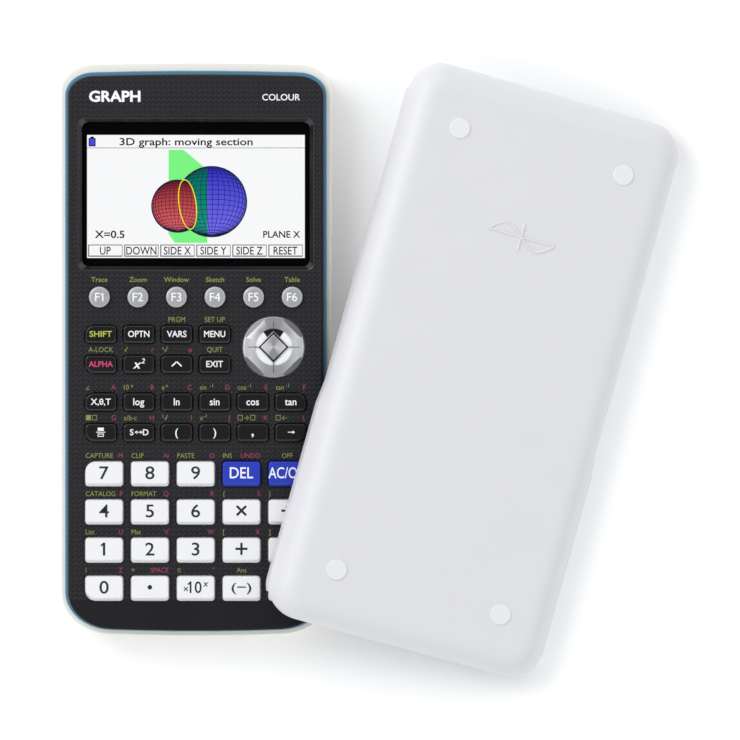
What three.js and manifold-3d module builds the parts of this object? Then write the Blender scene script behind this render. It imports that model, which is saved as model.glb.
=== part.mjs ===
// Graphing calculator with its slide-on cover, in millimetres, +Z up.
// The calculator lies on its back on the plane z = 0, face up, with +Y towards its display end.
// The cover leans beside it: one long rim stands on that plane, the other lies over the keys.
import * as THREE from 'three';
import { mergeVertices } from 'three/addons/utils/BufferGeometryUtils.js';
import Module from 'manifold-3d';

const wasm = await Module();
wasm.setup();

// ---------- Driving dimensions ----------

// Overall size and shell.
const BODY_WIDTH = 89;
const BODY_LENGTH = 188.5;
const CASE_WALL = 2.2;
const END_WALL = 3.4; // the wall with the ports, thick enough to reach under the trim
const REAR_FLOOR = 1.8;
const REAR_EDGE_ROUND = 2.4;
const END_CROWN = 0.5;
const BODY_CORNERS = { top: { x: 11, y: 9 }, bottom: { x: 17, y: 14 } };
const FACE_CORNERS = { top: { x: 8.4, y: 6.4 }, bottom: { x: 15, y: 12 } };

// Clearances.
const GAP = 0.3; // between pieces that rest on or are fastened to each other
const KEY_CLEARANCE = 0.3; // round each key in its hole
const CURSOR_CLEARANCE = 0.5; // round the cursor pad, which rocks
const EXTRA = 1; // how far a cutter runs past the face it cuts

// How much of each layer shows round the next one: sides, display end, keyboard end.
const TRIM_REVEAL = { side: 1.6, top: 2.85, bottom: 1.65 };
const FACE_REVEAL = { side: 1.0, top: 1.3, bottom: 0.3 };
const TRIM_HEIGHT = 1.7;
const TRIM_WIDTH = 2.4;
const FRONT_EDGE = 2.1;
const FACE_EDGE_ROUND = 0.7;
const SKIRT_WALL = 1.2;
const SKIRT_HEIGHT = 6;

// Stack behind the display, from the back to the face.
const DOOR_THICKNESS = 1.3;
const CELL_DIAMETER = 10.5;
const CELL_LENGTH = 44.5;
const MODULE_THICKNESS = 1.9;
const WINDOW_THICKNESS = 0.8;
const PLATE_THICKNESS = 1.3;

// Display opening in the face, and what lies under it.
const DISPLAY_CENTRE_Y = 50.85;
const DISPLAY_OPENING = { width: 77.3, height: 49.9, corner: 2 };
const DISPLAY_SLOPE = 1.3;
const WINDOW_MARGIN = 1.1;
const MODULE_MARGIN = 0.6;

// Keys.
const KEY_TRAVEL = 1.0;
const FLANGE_THICKNESS = 1.0;
const FLANGE_MARGIN = 0.7;
const KEY_EDGE_ROUND = 0.45;
const ROUND_KEY = { diameter: 6.8, pitch: 12.63, y: 17.1, rise: 1.4 };
const FUNCTION_KEY = { width: 10.2, height: 5.8, pitch: 12.44, corner: 1.3, outer: 2.9, rise: 1.1 };
const DIGIT_KEY = { width: 12.5, height: 8.2, gapX: 2.5, gapY: 4.3, corner: 1.1, outer: 3.4, rise: 1.6 };
const DIGIT_TOP_Y = -40.8;

// Cursor pad: a ring that rocks on a hub, and the hub's own pivot.
const CURSOR = { x: 25.5, y: 0.7, diameter: 20.2, rise: 1.2 };
const CURSOR_ROCK = THREE.MathUtils.degToRad(2.5);
const CURSOR_FLANGE_MARGIN = 1;
const CURSOR_EDGE_ROUND = 0.5;
const HUB = { size: 8.4, stemDiameter: 5, baseDiameter: 8, baseThickness: 1 };
const HUB_CLEARANCE = 0.5;

// Keyboard mat and circuit board.
const DOME = { radius: 2, height: 1.2, sides: 6 };
const MAT_THICKNESS = 1;
const BOARD_THICKNESS = 1.4;
const BOARD_MARGIN = 0.8;

// Battery bay.
const CELL_SPACE = 0.4;
const CELL_CENTRE_Y = 51;
const CELL_NUB = { diameter: 5.5, length: 0.9 };
const CONTACT_THICKNESS = 0.5;
const CONTACT_SPACE = 1.5;
const BAY_WALL = 3.9;
const BAY_LEDGE = 1.9;

// Posts, ports and the recessed restart button.
const POST = { radius: 3, insetX: 11, ends: 10, middle: -10 };
const SCREW_RECESS = { radius: 2.4, depth: 1.2 };
const USB_PORT = { x: 22, width: 7.7, height: 3.9, length: 8 };
const LINK_PORT = { x: 8, width: 6, height: 5, length: 8 };
const PORT_CLEARANCE = 0.4;
const PORT_SETBACK = 0.6;
const RESTART = { x: -33, y: 40, radius: 1.6, recess: 0.5, height: 3 };

// Grooves in the sides, and the cover that slides on them.
const GROOVE = { z: 9.4, height: 1.8, depth: 1.0 };
const RAIL_CLEARANCE = 0.3;
const COVER_WALL = 2;
const COVER_CLEARANCE = 0.35;
const COVER_HEADROOM = 0.7;
const COVER_CORNER = 11;
const COVER_EDGE_ROUND = 9;
const COVER_LIP = { low: 6.25, high: 11 }; // the length at each end where the walls stop short
// The wider sides over the rails run out round the lower corners, and over a ramp at the upper end.
const COVER_FLARE = { depth: 0.9, fromEnd: 11.2, length: 66.8, ramp: 8, height: 5.5, steps: 6 };
const COVER_LEAN = { reach: 0.65, y: -6.7, turn: THREE.MathUtils.degToRad(-15.6), floorGap: 0.1 };

// ---------- Heights worked out from the stack ----------

const CELL_Z = DOOR_THICKNESS + GAP + CELL_DIAMETER / 2;
const MODULE_Z = CELL_Z + CELL_DIAMETER / 2 + GAP;
const WINDOW_Z = MODULE_Z + MODULE_THICKNESS + GAP;
const PLATE_Z = WINDOW_Z + WINDOW_THICKNESS + GAP;
const FACE_Z = PLATE_Z + PLATE_THICKNESS;
const FRONT_Z = FACE_Z - FRONT_EDGE;
const TRIM_Z = FRONT_Z - GAP - TRIM_HEIGHT;
const REAR_RIM_Z = TRIM_Z - GAP;
const SKIRT_Z = FACE_Z - SKIRT_HEIGHT;
const FLANGE_Z = PLATE_Z - GAP - FLANGE_THICKNESS;
const DOME_TOP_Z = FLANGE_Z - KEY_TRAVEL - GAP;
const MAT_TOP_Z = DOME_TOP_Z - DOME.height;
const MAT_Z = MAT_TOP_Z - MAT_THICKNESS;
const BOARD_Z = MAT_Z - GAP - BOARD_THICKNESS;
const KEY_TOP_Z = FACE_Z + Math.max(ROUND_KEY.rise, FUNCTION_KEY.rise, DIGIT_KEY.rise, CURSOR.rise);

// ---------- Solids from three.js geometry, joined and cut ----------

// Divisions of each curve in an outline. Arcs and ellipses get twice as many.
const CASE_SEGMENTS = 5;
const PAD_SEGMENTS = 15;
const ROUND_KEY_SEGMENTS = 8;
const BAR_KEY_SEGMENTS = 1;

function solid(geometry) {
  geometry.deleteAttribute('normal');
  geometry.deleteAttribute('uv');
  const merged = mergeVertices(geometry, 1e-4);
  const vertProperties = new Float32Array(merged.attributes.position.array);
  const triVerts = new Uint32Array(merged.index.array);
  return new wasm.Manifold(new wasm.Mesh({ numProp: 3, vertProperties, triVerts }));
}

function prism(shape, bottom, top, curveSegments = CASE_SEGMENTS) {
  const geometry = new THREE.ExtrudeGeometry(shape, {
    depth: top - bottom,
    bevelEnabled: false,
    curveSegments,
  });
  geometry.translate(0, 0, bottom);
  return solid(geometry);
}

// A prism whose edges at both ends are rounded inside its outline.
function roundedPrism(shape, bottom, top, radius, bevelSegments, curveSegments = CASE_SEGMENTS) {
  const geometry = new THREE.ExtrudeGeometry(shape, {
    depth: top - bottom - 2 * radius,
    bevelEnabled: true,
    bevelThickness: radius,
    bevelSize: radius,
    bevelOffset: -radius,
    bevelSegments,
    curveSegments,
  });
  geometry.translate(0, 0, bottom + radius);
  return solid(geometry);
}

function block(low, high) {
  const geometry = new THREE.BoxGeometry(high.x - low.x, high.y - low.y, high.z - low.z);
  geometry.translate((low.x + high.x) / 2, (low.y + high.y) / 2, (low.z + high.z) / 2);
  return solid(geometry);
}

function post(radius, x, y, bottom, top, sides = 12) {
  const geometry = new THREE.CylinderGeometry(radius, radius, top - bottom, sides);
  geometry.rotateX(Math.PI / 2);
  geometry.translate(x, y, (bottom + top) / 2);
  return solid(geometry);
}

function rodAlongY(radius, x, z, low, high, sides = 16) {
  const geometry = new THREE.CylinderGeometry(radius, radius, high - low, sides);
  geometry.translate(x, (low + high) / 2, z);
  return solid(geometry);
}

// ---------- Outlines ----------

// The body's outline drawn in by the given amounts, with elliptical corners and crowned ends.
function bodyOutline(inset, corners) {
  const right = BODY_WIDTH / 2 - inset.side;
  const high = BODY_LENGTH / 2 - END_CROWN - inset.top;
  const low = -BODY_LENGTH / 2 + END_CROWN + inset.bottom;
  const { top, bottom } = corners;
  const quarter = Math.PI / 2;
  const shape = new THREE.Shape();
  shape.moveTo(bottom.x - right, low);
  shape.quadraticCurveTo(0, low - 2 * END_CROWN, right - bottom.x, low);
  shape.absellipse(right - bottom.x, low + bottom.y, bottom.x, bottom.y, -quarter, 0);
  shape.lineTo(right, high - top.y);
  shape.absellipse(right - top.x, high - top.y, top.x, top.y, 0, quarter);
  shape.quadraticCurveTo(0, high + 2 * END_CROWN, top.x - right, high);
  shape.absellipse(top.x - right, high - top.y, top.x, top.y, quarter, 2 * quarter);
  shape.lineTo(-right, low + bottom.y);
  shape.absellipse(bottom.x - right, low + bottom.y, bottom.x, bottom.y, 2 * quarter, 3 * quarter);
  return shape;
}

function deeper(inset, amount) {
  return {
    side: inset.side + amount,
    top: inset.top + amount,
    bottom: inset.bottom + amount,
  };
}

function tighter(corners, amount) {
  const shrink = ({ x, y }) => ({ x: Math.max(x - amount, 1), y: Math.max(y - amount, 1) });
  return { top: shrink(corners.top), bottom: shrink(corners.bottom) };
}

// radii run from the corner at low x and low y, anticlockwise.
function roundedRectangle(x, y, width, height, radii) {
  const [a, b, c, d] = radii;
  const left = x - width / 2;
  const right = x + width / 2;
  const low = y - height / 2;
  const high = y + height / 2;
  const quarter = Math.PI / 2;
  const shape = new THREE.Shape();
  shape.moveTo(left + a, low);
  shape.lineTo(right - b, low);
  shape.absarc(right - b, low + b, b, -quarter, 0);
  shape.lineTo(right, high - c);
  shape.absarc(right - c, high - c, c, 0, quarter);
  shape.lineTo(left + d, high);
  shape.absarc(left + d, high - d, d, quarter, 2 * quarter);
  shape.lineTo(left, low + a);
  shape.absarc(left + a, low + a, a, 2 * quarter, 3 * quarter);
  return shape;
}

function disc(x, y, radius) {
  const shape = new THREE.Shape();
  shape.absarc(x, y, radius, 0, 2 * Math.PI);
  return shape;
}

const NO_INSET = { side: 0, top: 0, bottom: 0 };
const FACE_INSET = {
  side: TRIM_REVEAL.side + FACE_REVEAL.side,
  top: TRIM_REVEAL.top + FACE_REVEAL.top,
  bottom: TRIM_REVEAL.bottom + FACE_REVEAL.bottom,
};
const TRIM_INNER = deeper(TRIM_REVEAL, TRIM_WIDTH);
const SKIRT_OUTER = deeper(TRIM_INNER, GAP);
const SKIRT_INNER = deeper(SKIRT_OUTER, SKIRT_WALL);
const INSIDE = {
  x: BODY_WIDTH / 2 - SKIRT_INNER.side,
  high: BODY_LENGTH / 2 - SKIRT_INNER.top,
  low: -BODY_LENGTH / 2 + SKIRT_INNER.bottom,
};

// ---------- Materials ----------

function plastic(colour, roughness) {
  return new THREE.MeshStandardMaterial({ color: colour, roughness, metalness: 0 });
}

function metal(colour, roughness) {
  return new THREE.MeshStandardMaterial({ color: colour, roughness, metalness: 0.9 });
}

const ivory = () => plastic(0xf3f3ea, 0.4);
const coverWhite = () => plastic(0xe6e7ea, 0.45);
const blueTrim = () => plastic(0x5c97b8, 0.3);
const faceBlack = () => plastic(0x2c2d31, 0.5);
const keyBlack = () => plastic(0x17181b, 0.35);
const keyWhite = () => plastic(0xf0f2f4, 0.35);
const keyBlue = () => plastic(0x3246c8, 0.35);
const silver = () => metal(0xb9bcc0, 0.35);
const windowClear = () => plastic(0x0a0a0c, 0.05);
const moduleDark = () => plastic(0x15161a, 0.5);
const matGrey = () => plastic(0x8b8f94, 0.8);
const boardGreen = () => plastic(0x1f6b45, 0.5);
const cellJacket = () => metal(0x9a9da3, 0.4);
const buttonGrey = () => plastic(0x6f7277, 0.6);

// ---------- Keys ----------

function roundKeys() {
  return [1, 2, 3, 4, 5, 6].map((number, column) => ({
    name: `key_f${number}`,
    x: (column - 2.5) * ROUND_KEY.pitch,
    y: ROUND_KEY.y,
    radius: ROUND_KEY.diameter / 2,
    rise: ROUND_KEY.rise,
    material: silver,
  }));
}

// Corners are numbered as in roundedRectangle, and the named one has the wide outer radius.
const CORNER = { lowLeft: 0, lowRight: 1, highRight: 2, highLeft: 3 };

function cornerRadii(style, outerCorner) {
  return [0, 1, 2, 3].map((corner) => (corner === CORNER[outerCorner] ? style.outer : style.corner));
}

const FUNCTION_ROWS = [
  { y: 4.9, names: ['shift', 'option', 'vars', 'menu'] },
  { y: -4.95, names: ['alpha', 'square', 'power', 'exit'] },
  { y: -17.3, names: ['x_theta_t', 'log', 'ln', 'sin', 'cos', 'tan'] },
  { y: -27.3, names: ['fraction', 'convert', 'paren_open', 'paren_close', 'comma', 'store'] },
];

const FUNCTION_CORNERS = {
  shift: 'highLeft',
  alpha: 'lowLeft',
  x_theta_t: 'highLeft',
  fraction: 'lowLeft',
  tan: 'highRight',
  store: 'lowRight',
};

function functionKeys() {
  return FUNCTION_ROWS.flatMap(({ y, names }) =>
    names.map((name, column) => ({
      name: `key_${name}`,
      x: (column - 2.5) * FUNCTION_KEY.pitch,
      y,
      width: FUNCTION_KEY.width,
      height: FUNCTION_KEY.height,
      radii: cornerRadii(FUNCTION_KEY, FUNCTION_CORNERS[name]),
      rise: FUNCTION_KEY.rise,
      material: keyBlack,
    })),
  );
}

const DIGIT_ROWS = [
  ['7', '8', '9', 'delete', 'ac_on'],
  ['4', '5', '6', 'multiply', 'divide'],
  ['1', '2', '3', 'add', 'subtract'],
  ['0', 'point', 'exponent', 'negative', 'execute'],
];

const DIGIT_CORNERS = { 7: 'highLeft', ac_on: 'highRight', 0: 'lowLeft', execute: 'lowRight' };
const BLUE_KEYS = ['delete', 'ac_on'];

function digitKeys() {
  const pitchX = DIGIT_KEY.width + DIGIT_KEY.gapX;
  const pitchY = DIGIT_KEY.height + DIGIT_KEY.gapY;
  return DIGIT_ROWS.flatMap((names, row) =>
    names.map((name, column) => ({
      name: `key_${name}`,
      x: (column - 2) * pitchX,
      y: DIGIT_TOP_Y - row * pitchY,
      width: DIGIT_KEY.width,
      height: DIGIT_KEY.height,
      radii: cornerRadii(DIGIT_KEY, DIGIT_CORNERS[name]),
      rise: DIGIT_KEY.rise,
      material: BLUE_KEYS.includes(name) ? keyBlue : keyWhite,
    })),
  );
}

const KEYS = [...roundKeys(), ...functionKeys(), ...digitKeys()];

function keyOutline(key, grow) {
  if (key.radius) {
    return disc(key.x, key.y, key.radius + grow);
  }
  const width = key.width + 2 * grow;
  const height = key.height + 2 * grow;
  return roundedRectangle(key.x, key.y, width, height, key.radii.map((radius) => radius + grow));
}

function keySegments(key) {
  return key.radius ? ROUND_KEY_SEGMENTS : BAR_KEY_SEGMENTS;
}

// A cap that stands through the face plate, on a flange that stays under the plate.
function keySolid(key) {
  const segments = keySegments(key);
  const flange = prism(keyOutline(key, FLANGE_MARGIN), FLANGE_Z, FLANGE_Z + FLANGE_THICKNESS, segments);
  const capBottom = FLANGE_Z + FLANGE_THICKNESS / 4;
  const capTop = FACE_Z + key.rise;
  const cap = roundedPrism(keyOutline(key, 0), capBottom, capTop, KEY_EDGE_ROUND, 1, segments);
  return flange.add(cap);
}

// ---------- Cursor pad and hub ----------

const CURSOR_FLANGE_RADIUS = CURSOR.diameter / 2 + CURSOR_CLEARANCE + CURSOR_FLANGE_MARGIN;
const CURSOR_LIFT = CURSOR_FLANGE_RADIUS * Math.sin(CURSOR_ROCK);
const CURSOR_FLANGE_TOP = PLATE_Z - GAP - CURSOR_LIFT;
const HUB_BASE_Z = MAT_TOP_Z + GAP;

// A square standing on its corner.
function diamond(size) {
  const half = size / 2;
  const shape = new THREE.Shape();
  shape.moveTo(CURSOR.x - half, CURSOR.y);
  shape.lineTo(CURSOR.x, CURSOR.y - half);
  shape.lineTo(CURSOR.x + half, CURSOR.y);
  shape.lineTo(CURSOR.x, CURSOR.y + half);
  return shape;
}

function cursorPad() {
  const { x, y, diameter, rise } = CURSOR;
  const flangeBottom = CURSOR_FLANGE_TOP - FLANGE_THICKNESS;
  const flange = prism(disc(x, y, CURSOR_FLANGE_RADIUS), flangeBottom, CURSOR_FLANGE_TOP, PAD_SEGMENTS);
  const capBottom = flangeBottom + FLANGE_THICKNESS / 4;
  const capOutline = disc(x, y, diameter / 2);
  const capTop = FACE_Z + rise;
  const cap = roundedPrism(capOutline, capBottom, capTop, CURSOR_EDGE_ROUND, 1, PAD_SEGMENTS);
  const holeSize = HUB.size + 2 * HUB_CLEARANCE * Math.SQRT2;
  const hubHole = prism(diamond(holeSize), flangeBottom - EXTRA, KEY_TOP_Z);
  return flange.add(cap).subtract(hubHole);
}

function cursorHub() {
  const { x, y, rise } = CURSOR;
  const baseTop = HUB_BASE_Z + HUB.baseThickness;
  const base = post(HUB.baseDiameter / 2, x, y, HUB_BASE_Z, baseTop);
  const stemTop = FACE_Z;
  const stem = post(HUB.stemDiameter / 2, x, y, HUB_BASE_Z, stemTop);
  const head = prism(diamond(HUB.size), stemTop - 2 * PLATE_THICKNESS, FACE_Z + rise);
  return base.add(stem).add(head);
}

// ---------- Cases and trim ----------

function displayOpening() {
  const { width, height, corner } = DISPLAY_OPENING;
  const corners = [corner, corner, corner, corner];
  const top = roundedRectangle(0, DISPLAY_CENTRE_Y, width, height, corners);
  const depth = PLATE_THICKNESS + 2 * EXTRA;
  const options = { depth, bevelEnabled: false, curveSegments: BAR_KEY_SEGMENTS };
  const geometry = new THREE.ExtrudeGeometry(top, options);
  geometry.translate(0, -DISPLAY_CENTRE_Y, PLATE_Z - EXTRA);
  const position = geometry.attributes.position;
  const slope = DISPLAY_SLOPE / PLATE_THICKNESS;
  for (let i = 0; i < position.count; i += 1) {
    const below = FACE_Z - position.getZ(i);
    const shrinkX = 1 - (below * slope) / (width / 2);
    const shrinkY = 1 - (below * slope) / (height / 2);
    position.setX(i, position.getX(i) * shrinkX);
    position.setY(i, position.getY(i) * shrinkY);
  }
  geometry.translate(0, DISPLAY_CENTRE_Y, 0);
  return solid(geometry);
}

function frontCase() {
  const skirtCorners = tighter(BODY_CORNERS, SKIRT_OUTER.side);
  const skirt = prism(bodyOutline(SKIRT_OUTER, skirtCorners), SKIRT_Z, FRONT_Z + GAP);
  const hollowOutline = bodyOutline(SKIRT_INNER, tighter(skirtCorners, SKIRT_WALL));
  const hollow = prism(hollowOutline, SKIRT_Z - EXTRA, PLATE_Z);
  const faceOutline = bodyOutline(FACE_INSET, FACE_CORNERS);
  const slab = roundedPrism(faceOutline, FRONT_Z - FACE_EDGE_ROUND, FACE_Z, FACE_EDGE_ROUND, 2);
  const under = block(
    { x: -BODY_WIDTH, y: -BODY_LENGTH, z: FRONT_Z - 2 * FACE_EDGE_ROUND },
    { x: BODY_WIDTH, y: BODY_LENGTH, z: FRONT_Z },
  );
  let shell = slab.subtract(under).add(skirt).subtract(hollow).subtract(displayOpening());
  for (const key of KEYS) {
    const hole = prism(keyOutline(key, KEY_CLEARANCE), PLATE_Z - EXTRA, FACE_Z + EXTRA, keySegments(key));
    shell = shell.subtract(hole);
  }
  const padHole = disc(CURSOR.x, CURSOR.y, CURSOR.diameter / 2 + CURSOR_CLEARANCE);
  return shell.subtract(prism(padHole, PLATE_Z - EXTRA, FACE_Z + EXTRA, PAD_SEGMENTS));
}

function trimBand() {
  const outline = bodyOutline(TRIM_REVEAL, tighter(BODY_CORNERS, TRIM_REVEAL.side));
  const outer = prism(outline, TRIM_Z, TRIM_Z + TRIM_HEIGHT);
  const innerOutline = bodyOutline(TRIM_INNER, tighter(BODY_CORNERS, TRIM_INNER.side));
  return outer.subtract(prism(innerOutline, TRIM_Z - EXTRA, TRIM_Z + TRIM_HEIGHT + EXTRA));
}

const CELL_PITCH = CELL_DIAMETER + CELL_SPACE;
const BAY_HALF_WIDTH = 2 * CELL_PITCH;
const BAY_HALF_LENGTH = CELL_LENGTH / 2 + CELL_NUB.length + CONTACT_THICKNESS + CONTACT_SPACE;
const DOOR_HALF = { x: BAY_HALF_WIDTH + BAY_LEDGE, y: BAY_HALF_LENGTH + BAY_LEDGE };

function centredBlock(halfX, halfY, bottom, top) {
  return block(
    { x: -halfX, y: CELL_CENTRE_Y - halfY, z: bottom },
    { x: halfX, y: CELL_CENTRE_Y + halfY, z: top },
  );
}

function sideGroove(side) {
  const outer = side * (BODY_WIDTH / 2 + EXTRA);
  const inner = side * (BODY_WIDTH / 2 - GROOVE.depth);
  return block(
    { x: Math.min(outer, inner), y: -BODY_LENGTH, z: GROOVE.z - GROOVE.height / 2 },
    { x: Math.max(outer, inner), y: BODY_LENGTH, z: GROOVE.z + GROOVE.height / 2 },
  );
}

function portHole(port) {
  const half = port.width / 2 + PORT_CLEARANCE;
  const inner = BODY_LENGTH / 2 - 2 * CASE_WALL - END_CROWN;
  return block(
    { x: port.x - half, y: inner, z: BOARD_Z - port.height - PORT_CLEARANCE },
    { x: port.x + half, y: BODY_LENGTH, z: BOARD_Z + PORT_CLEARANCE },
  );
}

function rearCase() {
  const bodyTop = REAR_RIM_Z + 2 * REAR_EDGE_ROUND;
  const body = roundedPrism(bodyOutline(NO_INSET, BODY_CORNERS), 0, bodyTop, REAR_EDGE_ROUND, 3);
  const above = block(
    { x: -BODY_WIDTH, y: -BODY_LENGTH, z: REAR_RIM_Z },
    { x: BODY_WIDTH, y: BODY_LENGTH, z: bodyTop + EXTRA },
  );
  const wallInset = { ...deeper(NO_INSET, CASE_WALL), top: END_WALL };
  const hollowOutline = bodyOutline(wallInset, tighter(BODY_CORNERS, CASE_WALL));
  const hollow = roundedPrism(hollowOutline, REAR_FLOOR, bodyTop + EXTRA, REAR_FLOOR / 2, 1);
  let shell = body.subtract(above).subtract(hollow);

  const bayTop = MODULE_Z - GAP;
  const bayBottom = DOOR_THICKNESS + GAP;
  const bayWidth = BAY_HALF_WIDTH + BAY_WALL;
  const bayLength = BAY_HALF_LENGTH + BAY_WALL;
  shell = shell.add(centredBlock(bayWidth, bayLength, REAR_FLOOR / 2, bayTop));
  shell = shell.subtract(centredBlock(BAY_HALF_WIDTH, BAY_HALF_LENGTH, -EXTRA, bayTop + EXTRA));
  shell = shell.subtract(centredBlock(DOOR_HALF.x + GAP, DOOR_HALF.y + GAP, -EXTRA, bayBottom));

  const postX = BODY_WIDTH / 2 - POST.insetX;
  const endY = BODY_LENGTH / 2 - POST.ends;
  for (const x of [-postX, postX]) {
    for (const y of [-endY, POST.middle, endY]) {
      shell = shell.add(post(POST.radius, x, y, REAR_FLOOR / 2, BOARD_Z - GAP));
      shell = shell.subtract(post(SCREW_RECESS.radius, x, y, -EXTRA, SCREW_RECESS.depth));
    }
  }
  for (const side of [-1, 1]) {
    shell = shell.subtract(sideGroove(side));
  }
  for (const port of [USB_PORT, LINK_PORT]) {
    shell = shell.subtract(portHole(port));
  }
  return shell.subtract(post(RESTART.radius + GAP, RESTART.x, RESTART.y, -EXTRA, REAR_FLOOR + EXTRA));
}

// ---------- Inside pieces ----------

function displayWindow() {
  const width = DISPLAY_OPENING.width - 2 * DISPLAY_SLOPE + 2 * WINDOW_MARGIN;
  const height = DISPLAY_OPENING.height - 2 * DISPLAY_SLOPE + 2 * WINDOW_MARGIN;
  const outline = roundedRectangle(0, DISPLAY_CENTRE_Y, width, height, [1, 1, 1, 1]);
  return prism(outline, WINDOW_Z, WINDOW_Z + WINDOW_THICKNESS, BAR_KEY_SEGMENTS);
}

function displayModule() {
  const halfX = DISPLAY_OPENING.width / 2 - MODULE_MARGIN;
  const halfY = DISPLAY_OPENING.height / 2 - MODULE_MARGIN;
  return block(
    { x: -halfX, y: DISPLAY_CENTRE_Y - halfY, z: MODULE_Z },
    { x: halfX, y: DISPLAY_CENTRE_Y + halfY, z: MODULE_Z + MODULE_THICKNESS },
  );
}

// The keyboard's inside space ends at the battery bay's wall.
const KEYBOARD_HIGH = CELL_CENTRE_Y - BAY_HALF_LENGTH - BAY_WALL - BOARD_MARGIN;
const KEYBOARD_CORNER = 2;

function keyboardOutline() {
  const halfX = INSIDE.x - BOARD_MARGIN;
  const low = INSIDE.low + BOARD_MARGIN;
  const height = KEYBOARD_HIGH - low;
  const lowCorner = BODY_CORNERS.bottom.x - SKIRT_INNER.side;
  const radii = [lowCorner, lowCorner, KEYBOARD_CORNER, KEYBOARD_CORNER];
  return roundedRectangle(0, low + height / 2, 2 * halfX, height, radii);
}

function keyMat() {
  let mat = prism(keyboardOutline(), MAT_Z, MAT_TOP_Z);
  for (const key of KEYS) {
    mat = mat.add(post(DOME.radius, key.x, key.y, MAT_Z + MAT_THICKNESS / 2, DOME_TOP_Z, DOME.sides));
  }
  return mat;
}

function portHousing(port) {
  const mouth = BODY_LENGTH / 2 - END_CROWN - PORT_SETBACK - REAR_EDGE_ROUND / 4;
  const low = { x: port.x - port.width / 2, y: mouth - port.length, z: BOARD_Z - port.height };
  const high = { x: port.x + port.width / 2, y: mouth, z: BOARD_Z + PORT_CLEARANCE / 4 };
  return block(low, high);
}

function circuitBoard() {
  const top = BOARD_Z + BOARD_THICKNESS;
  const bayEdge = BAY_HALF_WIDTH + BAY_WALL + BOARD_MARGIN;
  const bayHigh = CELL_CENTRE_Y + BAY_HALF_LENGTH + BAY_WALL + BOARD_MARGIN;
  const armRight = INSIDE.x - BOARD_MARGIN;
  const main = prism(keyboardOutline(), BOARD_Z, top);
  const arm = block(
    { x: bayEdge, y: KEYBOARD_HIGH - 2 * KEYBOARD_CORNER, z: BOARD_Z },
    { x: armRight, y: INSIDE.high, z: top },
  );
  const bar = block(
    { x: LINK_PORT.x - LINK_PORT.width, y: bayHigh, z: BOARD_Z },
    { x: armRight, y: INSIDE.high, z: top },
  );
  let board = main.add(arm).add(bar);
  for (const port of [USB_PORT, LINK_PORT]) {
    board = board.add(portHousing(port));
  }
  return board;
}

// Two cells side by side, head to tail, with the contact plates that join their ends.
function batteryPair(side) {
  const xs = [0.5, 1.5].map((place) => side * place * CELL_PITCH);
  const low = CELL_CENTRE_Y - CELL_LENGTH / 2;
  const high = CELL_CENTRE_Y + CELL_LENGTH / 2;
  const [near, far] = xs;
  const bodies = xs.map((x) => rodAlongY(CELL_DIAMETER / 2, x, CELL_Z, low, high));
  const nubRadius = CELL_NUB.diameter / 2;
  const touch = CONTACT_THICKNESS / 2;
  const upNub = rodAlongY(nubRadius, near, CELL_Z, high - touch, high + CELL_NUB.length + touch, 10);
  const downNub = rodAlongY(nubRadius, far, CELL_Z, low - CELL_NUB.length - touch, low + touch, 10);
  const left = Math.min(near, far) - nubRadius;
  const right = Math.max(near, far) + nubRadius;
  const plate = block(
    { x: left, y: high + CELL_NUB.length, z: CELL_Z - nubRadius },
    { x: right, y: high + CELL_NUB.length + CONTACT_THICKNESS, z: CELL_Z + nubRadius },
  );
  const spring = rodAlongY(nubRadius, far, CELL_Z, high - touch, high + CELL_NUB.length + touch, 10);
  return bodies[0].add(bodies[1]).add(upNub).add(downNub).add(plate).add(spring);
}

function batteryDoor() {
  return centredBlock(DOOR_HALF.x, DOOR_HALF.y, 0, DOOR_THICKNESS);
}

function restartButton() {
  const { x, y, radius, recess, height } = RESTART;
  const flange = post(radius + 1, x, y, REAR_FLOOR + GAP, height);
  return post(radius, x, y, recess, height).add(flange);
}

// ---------- Slide-on cover ----------

const COVER_WIDTH = BODY_WIDTH + 2 * (COVER_CLEARANCE + COVER_WALL);
const COVER_INNER_HALF = COVER_WIDTH / 2 - COVER_WALL;
const RAIL_HEIGHT = GROOVE.height - 2 * RAIL_CLEARANCE;
const RAIL_INNER = BODY_WIDTH / 2 - GROOVE.depth + RAIL_CLEARANCE;
const COVER_TOP_Z = KEY_TOP_Z + COVER_HEADROOM + COVER_WALL;
const COVER_DEPTH = COVER_TOP_Z - (GROOVE.z - RAIL_HEIGHT / 2);
const LIP_DEPTH = COVER_TOP_Z - TRIM_Z;
const COVER_FLARED_HALF = COVER_WIDTH / 2 + COVER_FLARE.depth;
const COVER_TILT = Math.asin((KEY_TOP_Z + GAP) / (COVER_FLARED_HALF + RAIL_INNER));

function coverOutline(inset) {
  const corner = COVER_CORNER - inset;
  const width = COVER_WIDTH - 2 * inset;
  return roundedRectangle(0, 0, width, BODY_LENGTH - 2 * inset, [corner, corner, corner, corner]);
}

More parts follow.
